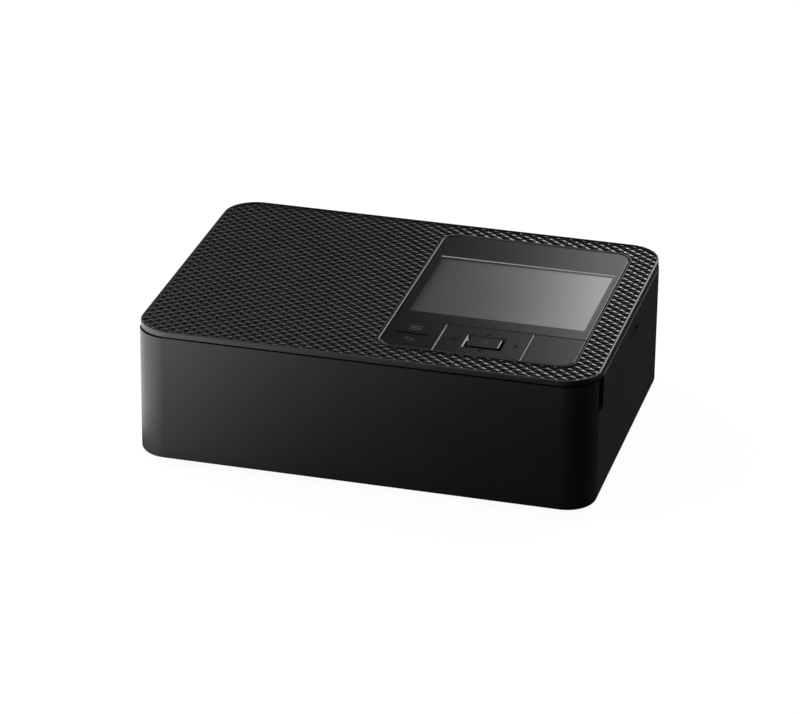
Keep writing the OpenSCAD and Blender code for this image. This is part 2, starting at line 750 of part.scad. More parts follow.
// Ring that lets the direction key tilt to four sides round the OK button.
module direction_key_pad() {
    pad_x = icon_dx - 1.6;
    pad_y = icon_dy - 1.6;
    color(black_part) {
        difference() {
            box(mid_x - pad_x, mid_x + pad_x, ok_y - pad_y, ok_y + pad_y, pad_z, pad_z + pad_t);
            box(ok_x - ok_w / 2 - 0.8, ok_x + ok_w / 2 + 0.8, ok_y - ok_d / 2 - 0.8, ok_y + ok_d / 2 + 0.8,
                pad_z - 1, pad_z + 2);
        }
        for (s = [-1, 1])
            x_rod(mid_x + s * (pad_x - 2) - 1.9, mid_x + s * (pad_x - 2) + 1.9, fulcrum_r, ok_y, fulcrum_z);
    }
}

// Cut for the bevelled mouth of the well round the OK button.
module ok_bevel() {
    low = panel_top - ok_mouth;
    over = ok_mouth + 0.5;
    half_w = ok_w / 2 + ok_gap;
    half_d = ok_d / 2 + ok_gap;
    intersection() {
        along_y(ok_x, ok_y + ok_d, 0) linear_extrude(2 * ok_d)
            polygon([[-half_w, low], [half_w, low],
                     [half_w + over, low + over], [-half_w - over, low + over]]);
        along_x(ok_x - ok_w, ok_y, 0) linear_extrude(2 * ok_w)
            polygon([[-half_d, low], [half_d, low],
                     [half_d + over, low + over], [-half_d - over, low + over]]);
    }
}

module direction_key() {
    pad_y = icon_dy - 1.6;
    rib_z = pad_z + pad_t + fulcrum_r + 0.1;
    color(black_part) {
        difference() {
            key_tile(div1_x + divider_w / 2 + key_gap, div2_x - divider_w / 2 - key_gap);
            box(ok_x - ok_w / 2 - ok_gap, ok_x + ok_w / 2 + ok_gap, ok_y - ok_d / 2 - ok_gap,
                ok_y + ok_d / 2 + ok_gap, panel_z - 1, panel_top + 1);
            ok_bevel();
        }
        for (s = [-1, 1]) {
            y = ok_y + s * (pad_y - 1);
            along_y(mid_x, y + 0.9, rib_z) cylinder(h = 1.8, r = fulcrum_r);
            box(mid_x - 0.4, mid_x + 0.4, y - 0.9, y + 0.9, rib_z, panel_z + key_lift + 0.2);
        }
        for (i = [2 : 5]) stem(key_places[i][0], key_places[i][1], switch_top + 0.5);
    }
}

module ok_button() {
    color(black_part) {
        difference() {
            round_box(ok_x - ok_w / 2, ok_x + ok_w / 2, ok_y - ok_d / 2, ok_y + ok_d / 2,
                      panel_z + 0.7, cap_top, 1.5);
            // Chamfer of the right edge
            along_y(ok_x + ok_w / 2, ok_y + ok_d, cap_top) linear_extrude(2 * ok_d)
                polygon([[-cap_edge - 0.1, 0.1], [0.1, 0.1], [0.1, -cap_edge - 0.1]]);
        }
        z_rod(ok_x, ok_y, switch_top + 0.5, panel_z + 1, 2);
    }
}

// The power key tilts on a rib at its rear edge.
module power_key() {
    color(black_part) {
        key_tile(div2_x + divider_w / 2 + key_gap, panel_x1);
        x_rod(div2_x + 3, panel_x1 - 3, fulcrum_r, power_pivot_y, fulcrum_z);
        box(div2_x + 3, panel_x1 - 3, power_pivot_y - 0.4, power_pivot_y + 0.4, fulcrum_z,
            panel_z + key_lift + 0.2);
        stem(key_places[6][0], key_places[6][1], switch_top + 0.6);
    }
}

// ---- Paper path ----

module paper_bay_frame() {
    x = bay_half + 1.8;
    top_z = paper_z + 11;
    color(black_part) difference() {
        box(-x, x, inner_front_y, bay_rear_y + 1.5, plate_z, top_z + 1.8);
        // Room for the paper cassette, the slot to the capstan and the feed roller's bay
        box(-bay_half, bay_half, inner_front_y - 1, bay_rear_y, plate_z + 2, top_z);
        box(-bay_half, bay_half, bay_rear_y - 1, bay_rear_y + 2, paper_z - 2, paper_z + 3);
        box(-bay_half, bay_half, feed_y - feed_r - 1, bay_rear_y + 2, paper_z + 2, top_z + 3);
        x_rod(-x - 1, x + 1, shaft_r + gap, feed_y, feed_z);
        box(-x - 1, x + 1, feed_y - shaft_r - gap, feed_y + shaft_r + gap, feed_z, top_z + 3);
        // Lightening slots in the floor
        for (bx = [-42 : 14 : 42])
            box(bx - 4, bx + 4, inner_front_y + 4, bay_rear_y - 4, plate_z - 1, plate_z + 3);
    }
}

module plate_outline(rear_y) {
    polygon([[plate_y0, plate_z], [rear_y, plate_z], [rear_y, ribbon_motor_z + 9],
             [plate_y1, plate_top_z], [arm_pivot_y - 8, plate_top_z], [arm_pivot_y - 12, case_top_z + 1.6],
             [supply_y - chamber_r - 4, case_top_z + 1.6], [plate_y0, feed_z + 6]]);
}

// Foot of a side plate, bent outwards onto the bottom cover.
module plate_feet(s) {
    for (y = plate_foot_ys) difference() {
        x = s * plate_x;
        box(min(x, x + s * 9), max(x, x + s * 9), y - 5, y + 5, plate_z, plate_z + plate_t);
        z_rod(x + s * 5.5, y, plate_z - 1, plate_z + 3, screw_r + bush_fit);
    }
}

// Tab of a side plate under a lifting spring.
module spring_seat(s) {
    x = s * (plate_x + 0.5);
    box(min(x, x - s * 5.5), max(x, x - s * 5.5), spring_y - 2.4, spring_y + 2.4,
        spring_z0 - 1.2, spring_z0);
}

plate_foot_ys = [plate_y0 + 7, plate_y1 - 6];

module shaft_holes(x) {
    x_rod(x - 1, x + plate_t + 1, bush_r + bush_fit, platen_y, platen_z);
    x_rod(x - 1, x + plate_t + 1, bush_r + bush_fit, capstan_y, capstan_z);
    x_rod(x - 1, x + plate_t + 1, bush_r + bush_fit, feed_y, feed_z);
    x_rod(x - 1, x + plate_t + 1, arm_pin_r + run_fit, arm_pivot_y, arm_pivot_z);
}

module left_side_plate() {
    x = -plate_x - plate_t;
    color(steel) {
        difference() {
            along_x(x, 0, 0) linear_extrude(plate_t) difference() {
                plate_outline(plate_y1 + 0.5);
                // Window that the ribbon cassette passes
                translate([supply_y - chamber_r - 0.6, paper_z - 0.6])
                    square([spool_pitch + 2 * chamber_r + 1.2, case_top_z - paper_z + 1.2]);
            }
            shaft_holes(x);
        }
        plate_feet(-1);
        spring_seat(-1);
        // Pin of the cassette lever
        x_rod(x - 4, x + 0.5, lever_pin_r, lever_y, lever_z);
    }
}

module right_side_plate() {
    x = plate_x;
    color(steel) {
        difference() {
            along_x(x, 0, 0) linear_extrude(plate_t) difference() {
                plate_outline(plate_y1 + 9);
                translate([motor_y, motor_z]) circle(r = 2.6);
                translate([ribbon_motor_y, ribbon_motor_z]) circle(r = 2.4);
            }
            shaft_holes(x);
            for (y = [supply_y, takeup_y]) x_rod(x - 1, x + plate_t + 1, 2.2 + run_fit, y, spool_z);
            // Room for the card socket
            box(x - 1, x + plate_t + 1, sd_y - 15, sd_y + 15, sd_z - sd_t / 2 - 2.3, plate_top_z + 1);
        }
        plate_feet(1);
        spring_seat(1);
        x_rod(x + plate_t - 0.5, gear_x + gear_w + 0.4, 1.5, idler_y, idler_z);
    }
}

// Ribbed guide plate under the paper, carried on the bottom cover.
module paper_guide(y0, y1, x1) {
    guide_z = paper_z - 1.2;
    color(black_part) {
        box(-bay_half + 3, x1, y0, y1, guide_z - 1.2, guide_z);
        for (x = [-48 : 12 : x1 - 2]) box(x - 0.6, x + 0.6, y0, y1, guide_z - 0.1, guide_z + 0.8);
        for (x = [-bay_half + 3, x1 - 2]) box(x, x + 2, y0, y1, plate_z, guide_z - 1);
    }
}

module front_paper_guide() {
    paper_guide(capstan_y + capstan_r + 2, platen_y - platen_r - 1.5, 36);
}

module rear_paper_guide() {
    paper_guide(platen_y + platen_r + 1.5, inner_y - 0.6, bay_half - 3);
}

module frame_screws() {
    color(steel)
        for (s = [-1, 1], y = plate_foot_ys)
            translate([s * (plate_x + 5.5), y, plate_z + plate_t + 1.2]) mirror([0, 0, 1])
                screw(screw_r, 2.4, 1.2, 1.4);
}

module shaft_bushes() {
    color([0.85, 0.83, 0.76])
        for (p = [[platen_y, platen_z], [capstan_y, capstan_z], [feed_y, feed_z]], s = [-1, 1]) {
            x0 = s > 0 ? plate_x : -plate_x - plate_t;
            flange_x = s > 0 ? plate_x - 0.8 : -plate_x;
            difference() {
                union() {
                    x_rod(x0, x0 + plate_t, bush_r, p[0], p[1]);
                    x_rod(flange_x, flange_x + 0.8, bush_r + 0.8, p[0], p[1]);
                }
                x_rod(x0 - 2, x0 + plate_t + 2, shaft_r + run_fit, p[0], p[1]);
            }
        }
}

shaft_x0 = -plate_x - plate_t - 1;

module platen_shaft() {
    color(steel) x_rod(shaft_x0, plate_x + plate_t + 1, shaft_r, platen_y, platen_z);
}

module platen_rubber() {
    color([0.16, 0.16, 0.17]) difference() {
        x_rod(-paper_w / 2 - 3, paper_w / 2 + 3, platen_r, platen_y, platen_z);
        x_rod(-paper_w, paper_w, shaft_r, platen_y, platen_z);
    }
}

module capstan_roller() {
    color(steel) {
        x_rod(shaft_x0, hub_x + gear_w, shaft_r, capstan_y, capstan_z);
        x_rod(-paper_w / 2 - 3, paper_w / 2 + 3, capstan_r - 0.2, capstan_y, capstan_z);
        for (x = [-paper_w / 2, paper_w / 2 - grip_w])
            x_rod(x, x + grip_w, capstan_r, capstan_y, capstan_z);
    }
}

module capstan_gear() {
    color([0.9, 0.89, 0.85]) {
        x_gear(capstan_teeth, motor_angle, gear_x, capstan_y, capstan_z, shaft_r);
        along_x(gear_x + gear_w, capstan_y, capstan_z)
            linear_extrude(hub_x - gear_x - gear_w) difference() {
            circle(r = shaft_r + 2);
            circle(r = shaft_r);
        }
        x_gear(hub_teeth, feed_angle, hub_x, capstan_y, capstan_z, shaft_r);
    }
}

module pinch_roller() {
    color([0.2, 0.2, 0.21]) {
        x_rod(-paper_w / 2 - 4, paper_w / 2 + 4, 1.2, capstan_y, pinch_z);
        for (x = [-paper_w / 2, paper_w / 2 - grip_w])
            x_rod(x, x + grip_w, pinch_r, capstan_y, pinch_z);
    }
}

// Sheet bracket over the pinch roller, with an ear at each end of it.
module pinch_roller_bracket() {
    x = paper_w / 2 + 3;
    top_z = pinch_z + pinch_r + 0.6;
    color(steel) {
        for (s = [-1, 1]) difference() {
            box(s > 0 ? x - 1 : -x - 0.6, s > 0 ? x + 0.6 : -x + 1, capstan_y - 2.6, capstan_y + 2.6,
                pinch_z - 2.2, top_z + 1);
            x_rod(-x - 3, x + 3, 1.2 + run_fit, capstan_y, pinch_z);
        }
        box(-plate_x, plate_x, capstan_y - 2.6, capstan_y + 2.6, top_z, top_z + 1);
    }
}

module feed_roller_shaft() {
    color(steel) x_rod(shaft_x0, hub_x + gear_w, shaft_r, feed_y, feed_z);
}

module feed_roller_tyres() {
    color([0.25, 0.25, 0.26])
        for (x = [-tyre_x - tyre_w, tyre_x]) difference() {
            x_rod(x, x + tyre_w, feed_r, feed_y, feed_z);
            x_rod(x - 1, x + tyre_w + 1, shaft_r, feed_y, feed_z);
        }
}

module feed_gear() {
    color([0.9, 0.89, 0.85])
        x_gear(feed_teeth, feed_angle + 180 + 180 / feed_teeth, hub_x, feed_y, feed_z, shaft_r);
}

// ---- Thermal head ----

module thermal_head() {
    low_z = head_rest_z;
    color([0.75, 0.76, 0.77]) {
        // Heat sink with fins, and the ceramic strip under it
        box(-head_half, head_half, head_y0, head_y1, low_z + 1, low_z + 5);
        for (y = [head_y0 : 2.8 : head_y1 - 1]) box(-head_half, head_half, y, y + 1, low_z + 4.8, arm_z);
        box(-head_half + 1, head_half - 1, platen_y - 3, platen_y + 3, low_z + 0.3, low_z + 1.1);
        x_rod(-paper_w / 2, paper_w / 2, 0.5, platen_y, low_z + 0.5);
    }
}

module head_arm() {
    color(steel) {
        difference() {
            box(-plate_x + 3.5, plate_x - 3.5, head_y0, spring_y + 2.4, arm_z, arm_z + arm_t);
            box(-plate_x + 12, plate_x - 12, arm_pivot_y - 2, spring_y + 5, arm_z - 1, arm_z + arm_t + 1);
            for (x = [-36 : 18 : 36])
                box(x - 6, x + 6, head_y1 + 4, arm_pivot_y - 7, arm_z - 1, arm_z + arm_t + 1);
        }
        for (s = [-1, 1])
            x_rod(s > 0 ? plate_x - 3.6 : -plate_x - plate_t, s > 0 ? plate_x + plate_t : -plate_x + 3.6,
                  arm_pin_r, arm_pivot_y, arm_pivot_z);
    }
}

spring_y = arm_pivot_y + 4.6;
spring_z0 = ribbon_motor_z + ribbon_motor_r + 1.8;
spring_turns = 7;
spring_r = 1.7;
spring_wire = 0.3;
spring_sides = 6;
spring_steps = 12;

// Close-wound lifting spring, swept round a helix.
module helix_spring(length) {
    rings = spring_turns * spring_steps;
    points = [for (i = [0 : rings], k = [0 : spring_sides - 1])
        let (a = i * 360 / spring_steps, b = k * 360 / spring_sides, r = spring_r + spring_wire * cos(b))
        [r * cos(a), r * sin(a), length * i / rings + spring_wire * sin(b)]];
    faces = [for (i = [0 : rings - 1], k = [0 : spring_sides - 1])
        let (n = (k + 1) % spring_sides, a = i * spring_sides, b = a + spring_sides)
        [a + k, b + k, b + n, a + n]];
    polyhedron(points, concat(faces, [[for (k = [0 : spring_sides - 1]) k]],
        [[for (k = [spring_sides - 1 : -1 : 0]) rings * spring_sides + k]]));
}

module head_springs() {
    reach = arm_z - spring_z0 - 2 * spring_wire - 0.3;
    color(steel) for (s = [-1, 1])
        translate([s * (plate_x - 5.6 + spring_r), spring_y, spring_z0 + spring_wire + 0.1])
            helix_spring(reach);
}

// ---- Drive ----

module can_motor(y, z, r, length) {
    color([0.6, 0.6, 0.62]) difference() {
        union() {
            x_rod(plate_x - length, plate_x, r, y, z);
            x_rod(plate_x - length - 1, plate_x - length + 0.5, r * 0.45, y, z);
        }
        x_rod(plate_x - 6, plate_x + 1, motor_shaft_r + run_fit, y, z);
    }
}

module drive_motor() {
    can_motor(motor_y, motor_z, motor_r, 20);
}

// Shaft that turns with its pinion.
module motor_shaft(y, z) {
    x_rod(plate_x - 5.6, gear_x + gear_w + 0.6, motor_shaft_r, y, z);
}

module motor_pinion() {
    color([0.8, 0.68, 0.35]) {
        x_gear(pinion_teeth, motor_angle + 180 + 180 / pinion_teeth, gear_x, motor_y, motor_z, 0.5);
        motor_shaft(motor_y, motor_z);
    }
}

module ribbon_motor() {
    can_motor(ribbon_motor_y, ribbon_motor_z, ribbon_motor_r, 18);
}

module ribbon_motor_pinion() {
    color([0.8, 0.68, 0.35]) {
        x_gear(ribbon_pinion_teeth, ribbon_pinion_tooth, gear_x, ribbon_motor_y, ribbon_motor_z, 0.5);
        motor_shaft(ribbon_motor_y, ribbon_motor_z);
    }
}

// The idler's teeth meet the take-up gear's on one side and the pinion's on the other.
// Where the pinion meets it, the nearest idler tooth stands a little off the line of centres.
idler_tooth = idler_angle + 180 + 180 / idler_teeth;
idler_step = 360 / idler_teeth;
idler_turn = idler_tooth - ribbon_pinion_angle;
idler_off = idler_turn - idler_step * round(idler_turn / idler_step);
ribbon_pinion_tooth = ribbon_pinion_angle + 180 + 180 / ribbon_pinion_teeth
    - idler_off * idler_teeth / ribbon_pinion_teeth;

module ribbon_idler_gear() {
    color([0.9, 0.89, 0.85])
        x_gear(idler_teeth, idler_tooth, gear_x, idler_y, idler_z, 1.5 + run_fit);
}

// Dog that turns a spool: a round tip with a flat key across it.
module spool_dog(y) {
    tip_x = case_x1 - 5;
    x_rod(tip_x, gear_x + 0.5, 2.2, y, spool_z);
    along_x(tip_x, y, spool_z) linear_extrude(3.4) square([5.4, 1], center = true);
}

module takeup_drive_gear() {
    color([0.9, 0.89, 0.85]) {
        x_gear(takeup_teeth, idler_angle, gear_x, takeup_y, spool_z, 2);
        spool_dog(takeup_y);
    }
}

module supply_brake_hub() {
    color([0.9, 0.89, 0.85]) {
        x_rod(gear_x, gear_x + 2, 6, supply_y, spool_z);
        spool_dog(supply_y);
    }
}

// ---- Ribbon cassette ----

module ribbon_cassette_case() {
    color([0.85, 0.86, 0.88]) {
        for (y = [supply_y, takeup_y]) {
            toward = y < platen_y ? 1 : -1;
            difference() {
                union() {
                    x_rod(case_x0, case_x1, chamber_r, y, spool_z);
                    // Foot of the right end wall, which joins the bridge
                    box(case_x1 - 2, case_x1, y - 5, y + 5, case_mid_z, spool_z - chamber_r + 2);
                }
                x_rod(case_x0 + case_t, case_x1 - case_t, chamber_r - case_t, y, spool_z);
                x_rod(case_x0 - 1, case_x1 + 1, core_r + 1.2, y, spool_z);
                // Slit that the film leaves by
                box(-paper_w / 2 - 2, paper_w / 2 + 2, min(y + toward * 2, y + toward * 12),
                    max(y + toward * 2, y + toward * 12),
                    spool_z - chamber_r - 1, spool_z - chamber_r + 4.5);
            }
        }
        box(case_x1 - 2, case_x1, supply_y - 4, takeup_y + 4, case_mid_z, case_mid_z + bridge_t);
        // Left end wall with its grip
        difference() {
            box(case_x0, case_x0 + case_t, supply_y, takeup_y, case_mid_z, case_top_z - 2.4);
            x_rod(case_x0 - 1, case_x0 + 2, core_r + 1.2, supply_y, spool_z);
            x_rod(case_x0 - 1, case_x0 + 2, core_r + 1.2, takeup_y, spool_z);
        }
        box(case_x0 - 5, case_x0 + 0.5, platen_y - 9, platen_y + 9, spool_z - 0.9, spool_z + 0.9);
    }
}

module spool(y) {
    flange = chamber_r - case_t - gap;
    difference() {
        union() {
            spool_core(case_x0 - 0.2, case_x1 + 0.2, y);
            x_rod(-paper_w / 2 - 3.5, -paper_w / 2 - 2.5, flange, y, spool_z);
            x_rod(paper_w / 2 + 2.5, paper_w / 2 + 3.5, flange, y, spool_z);
        }
        // Socket for the dog, open towards the gears
        x_rod(case_x1 - 6, case_x1 + 1, 2.2 + gap, y, spool_z);
        along_x(case_x1 - 6, y, spool_z) linear_extrude(7)
            square([5.4 + 2 * gap, 1 + 2 * gap], center = true);
    }
}

module supply_spool() {
    color([0.85, 0.86, 0.88]) spool(supply_y);
}

module takeup_spool() {
    color([0.85, 0.86, 0.88]) spool(takeup_y);
    color([0.2, 0.15, 0.1]) difference() {
        x_rod(-paper_w / 2 - 1, paper_w / 2 + 1, used_roll_r, takeup_y, spool_z);
        x_rod(-paper_w, paper_w, core_r - 0.1, takeup_y, spool_z);
    }
}

module supply_film_roll() {
    color([0.15, 0.12, 0.1]) difference() {
        x_rod(-paper_w / 2 - 1, paper_w / 2 + 1, full_roll_r, supply_y, spool_z);
        x_rod(-paper_w, paper_w, core_r, supply_y, spool_z);
    }
}

// Stretch of film between the chambers, under the head.
module ribbon_film() {
    low = paper_z + 0.5;
    high = spool_z - chamber_r + 0.9;
    color([0.2, 0.1, 0.1]) along_x(-paper_w / 2 - 1, 0, 0) linear_extrude(paper_w + 2)
        polygon([[supply_y + 2.6, high - 0.3], [platen_y - 3, low], [platen_y + 3, low],
                 [takeup_y - 2.6, high - 0.3],
                 [takeup_y - 2.6, high - 0.3 + film_t], [platen_y + 3, low + film_t],
                 [platen_y - 3, low + film_t], [supply_y + 2.6, high - 0.3 + film_t]]);
}

lever_y = takeup_y + chamber_r + 4.5;
lever_z = paper_z + 6;
lever_pin_r = 1.4;

module cassette_lever() {
    x0 = -plate_x - plate_t - 3.8;
    color([0.85, 0.4, 0.12]) difference() {
        union() {
            x_rod(x0, x0 + 3.5, 3, lever_y, lever_z);
            box(x0, x0 + 3.5, lever_y - 2, lever_y + 2.6, lever_z, lever_z + 14);
            box(x0 - 5, x0 + 3.5, lever_y - 2, lever_y + 2.6, lever_z + 12, lever_z + 14);
        }
        x_rod(x0 - 1, x0 + 5, lever_pin_r + run_fit, lever_y, lever_z);
    }
}

// ---- Electronics ----

jack_r = 3.4;
jack_x = main_x - 6;
jack_z = 14;
usb_x0 = main_x - 3.4;
usb_x1 = main_x - 0.2;
usb_z = 30;

// Chips: place along the board, length, lift, height and thickness
chips = [[22, 14, 15, 14, 1.4], [44, 8, 21, 8, 1.2], [56, 6, 5, 10, 1.6], [4, 10, 17, 8, 3]];
// Capacitors: place along the board, lift, radius and height
capacitors = [[28, 9, 3.2, 6], [38, 9, 3.2, 6], [48, 9, 3.2, 6], [70, 23, 2.4, 4]];

module main_board() {
    color(pcb_green) difference() {
        box(main_x, main_x + pcb_t, main_y0, main_y1, plate_z + 2, main_z1);
        for (y = main_hole_ys, z = main_hole_zs) x_rod(main_x - 1, main_x + 3, 1.2, y, z);
    }
}

module board_components() {
    color([0.06, 0.06, 0.06]) {
        for (c = chips)
            box(main_x - c[4], main_x, main_y0 + c[0], main_y0 + c[0] + c[1],
                plate_z + c[2], plate_z + c[2] + c[3]);
    }
    color([0.35, 0.36, 0.4])
        for (c = capacitors)
            x_rod(main_x + pcb_t, main_x + pcb_t + c[3], c[2], main_y0 + c[0], plate_z + c[1]);
}

module dc_jack() {
    color([0.08, 0.08, 0.08]) difference() {
        union() {
            box(jack_x - 5.5, main_x, jack_y0, inner_y - 0.2, jack_z - 5.5, jack_z + 5.5);
            along_y(jack_x, hy - 0.6, jack_z) cylinder(h = wall, r = jack_r);
        }
        along_y(jack_x, hy + 1, jack_z) cylinder(h = 11, r = jack_r - 0.65);
    }
    color(steel) along_y(jack_x, hy - 2, jack_z) cylinder(h = 9.5, r = 0.85);
}

module usb_socket() {
    color(steel) {
        difference() {
            translate([0, hy - 0.4, 0]) rotate([90, 0, 0]) linear_extrude(8)
                round_rect(usb_x0, usb_x1, usb_z - 4.5, usb_z + 4.5, 1.55);
            translate([0, hy + 1, 0]) rotate([90, 0, 0]) linear_extrude(8)
                round_rect(usb_x0 + 0.3, usb_x1 - 0.3, usb_z - 4.2, usb_z + 4.2, 1.25);
        }
        box((usb_x0 + usb_x1) / 2 - 0.35, (usb_x0 + usb_x1) / 2 + 0.35, hy - 8, hy - 1.6,
            usb_z - 3.3, usb_z + 3.3);
        box(usb_x1 - 0.5, main_x, hy - 14.6, hy - 8.2, usb_z - 3, usb_z + 3);
    }
}

module sd_board() {
    color(pcb_green)
        box(plate_x + plate_t + 3, inner_x - 0.4, sd_y - 13.5, sd_y + 12.6,
            sd_z - sd_t / 2 - 1.9, sd_z - sd_t / 2 - 0.9);
}

module sd_socket() {
    half = sd_w / 2 + 0.3;
    card_half_t = sd_t / 2;
    color(steel) difference() {
        box(plate_x - 2, inner_x - 0.3, sd_y - half - 0.5, sd_y + half + 0.5, sd_z - card_half_t - 0.9,
            sd_z + card_half_t + 0.6);
        box(plate_x - 1, inner_x + 1, sd_y - half, sd_y + half,
            sd_z - card_half_t - 0.1, sd_z + card_half_t + 0.1);
    }
}

module cooling_fan_frame() {
    color([0.09, 0.09, 0.1]) {
        difference() {
            box(fan_x - fan_w / 2, fan_x + fan_w / 2, fan_y0, fan_y0 + fan_t,
                fan_z - fan_w / 2, fan_z + fan_w / 2);
            along_y(fan_x, fan_y0 + fan_t + 1, fan_z) cylinder(h = fan_t + 2, r = fan_w / 2 - 0.8);
        }
        // Motor base on three spokes
        along_y(fan_x, fan_y0 + 1.2, fan_z) cylinder(h = 1.2, r = 4);
        for (a = [90, 210, 330]) along_y(fan_x, fan_y0 + 1.2, fan_z) rotate(a)
            translate([2, -0.6, 0]) cube([fan_w / 2 - 2.6, 1.2, 1.2]);
        along_y(fan_x, fan_y0 + 3, fan_z) cylinder(h = 2, r = 0.8);
        // Feet that stand it on the bottom cover
        for (s = [-1, 1])
            box(fan_x + s * 8 - 1.5, fan_x + s * 8 + 1.5, fan_y0 + 1, fan_y0 + fan_t - 1, plate_z,
                              fan_z - fan_w / 2 + 0.2);
    }
}

module cooling_fan_rotor() {
    y1 = fan_y0 + fan_t - 0.4;
    color([0.12, 0.12, 0.13]) difference() {
        union() {
            along_y(fan_x, y1, fan_z) cylinder(h = fan_t - 2, r = 4);
            for (i = [0 : 6]) along_y(fan_x, y1, fan_z) rotate(i * 360 / 7)
                rotate([35, 0, 0]) translate([3.4, -0.4, 0.6]) cube([fan_w / 2 - 5.2, 0.9, 4.4]);
        }
        along_y(fan_x, fan_y0 + 3.2, fan_z) cylinder(h = 3, r = 0.8 + run_fit);
    }
}

// Flat cable that runs from the control board down to the main board.
module flex_cable() {
    t = 0.3;
    y0 = -34;
    color([0.85, 0.85, 0.88]) translate([0, y0 + 12, 0]) rotate([90, 0, 0]) linear_extrude(12)
        polygon([[panel_x1 - 12, board_z - t], [main_x + pcb_t + t, board_z - t],
                 [main_x + pcb_t + t, main_z1 - 4],
                 [main_x + pcb_t, main_z1 - 4], [main_x + pcb_t, board_z - 2 * t],
                 [panel_x1 - 12, board_z - 2 * t]]);
}

body_shell();
bottom_cover();
top_cover();
rubber_feet();
case_screws();
front_cover();
ribbon_door();
control_panel_window();
key_frame();
lcd_module();
lcd_frame();
control_board();
key_switches();
menu_back_key();
direction_key_pad();
direction_key();
ok_button();
power_key();
paper_bay_frame();
left_side_plate();
right_side_plate();
front_paper_guide();
rear_paper_guide();
frame_screws();
shaft_bushes();
platen_shaft();
platen_rubber();
capstan_roller();
capstan_gear();
pinch_roller();
pinch_roller_bracket();
feed_roller_shaft();
feed_roller_tyres();
feed_gear();
thermal_head();
head_arm();
head_springs();
drive_motor();
motor_pinion();
ribbon_motor();
ribbon_motor_pinion();
ribbon_idler_gear();
takeup_drive_gear();
supply_brake_hub();
ribbon_cassette_case();
supply_spool();
supply_film_roll();
takeup_spool();
ribbon_film();
cassette_lever();
main_board();
board_components();
dc_jack();
usb_socket();
sd_board();
sd_socket();
cooling_fan_frame();
cooling_fan_rotor();
flex_cable();
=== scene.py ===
"""Compact photo printer: studio scene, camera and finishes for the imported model."""
import bmesh
import bpy
import json
import math
from collections import namedtuple
from mathutils import Matrix, Vector


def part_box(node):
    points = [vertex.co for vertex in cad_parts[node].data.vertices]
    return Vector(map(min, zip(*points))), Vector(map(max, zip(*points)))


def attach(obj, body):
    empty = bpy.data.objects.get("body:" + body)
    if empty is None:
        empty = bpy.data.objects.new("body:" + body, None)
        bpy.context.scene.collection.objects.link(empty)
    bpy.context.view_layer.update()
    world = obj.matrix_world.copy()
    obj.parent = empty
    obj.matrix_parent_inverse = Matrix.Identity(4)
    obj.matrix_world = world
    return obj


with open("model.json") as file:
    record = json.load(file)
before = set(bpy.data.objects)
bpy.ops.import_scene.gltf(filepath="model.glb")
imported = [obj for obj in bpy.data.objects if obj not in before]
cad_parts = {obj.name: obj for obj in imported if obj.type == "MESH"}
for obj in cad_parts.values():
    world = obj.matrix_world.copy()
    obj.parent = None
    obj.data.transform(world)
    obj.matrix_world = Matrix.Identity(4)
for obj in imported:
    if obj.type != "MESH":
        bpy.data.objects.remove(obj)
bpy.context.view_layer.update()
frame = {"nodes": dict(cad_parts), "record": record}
scene = bpy.context.scene
MM = 0.001
LOW, HIGH = 0, 1
X, Y, Z = 0, 1, 2


def side(node, end, axis):
    """Where a CAD node begins or ends along an axis, in mm to a hundredth."""
    return round(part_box(node)[end][axis] / MM, 2)


# ---------------------------------------------------------------- camera
AZIMUTH = math.radians(14.804)
ELEVATION = math.radians(25.269)
ROLL = math.radians(0.612)
EYE = Vector((0.349682, -1.329182, 0.67574))
LENS, SENSOR_WIDTH = 171.89, 36.0
CLIP_NEAR, CLIP_FAR = 0.01, 50.0


def place_camera():
    """Puts the camera at EYE, turned by its azimuth and elevation and rolled a little."""
    back = Vector((math.sin(AZIMUTH) * math.cos(ELEVATION),
                   -math.cos(AZIMUTH) * math.cos(ELEVATION),
                   math.sin(ELEVATION)))
    level_right = (-back).cross(Vector((0, 0, 1))).normalized()
    level_up = level_right.cross(-back)
    right = level_right * math.cos(ROLL) + level_up * math.sin(ROLL)
    up = level_up * math.cos(ROLL) - level_right * math.sin(ROLL)
    data = bpy.data.cameras.new("camera")
    data.lens, data.sensor_width = LENS, SENSOR_WIDTH
    data.clip_start, data.clip_end = CLIP_NEAR, CLIP_FAR
    camera = bpy.data.objects.new("camera", data)
    scene.collection.objects.link(camera)
    turn = Matrix((right, up, back)).transposed().to_4x4()
    camera.matrix_world = Matrix.Translation(EYE) @ turn
    scene.camera = camera


place_camera()


# ---------------------------------------------------------------- node helpers
# most of a noise texture lies between these values
NOISE_LOW, NOISE_HIGH = 0.3, 0.7


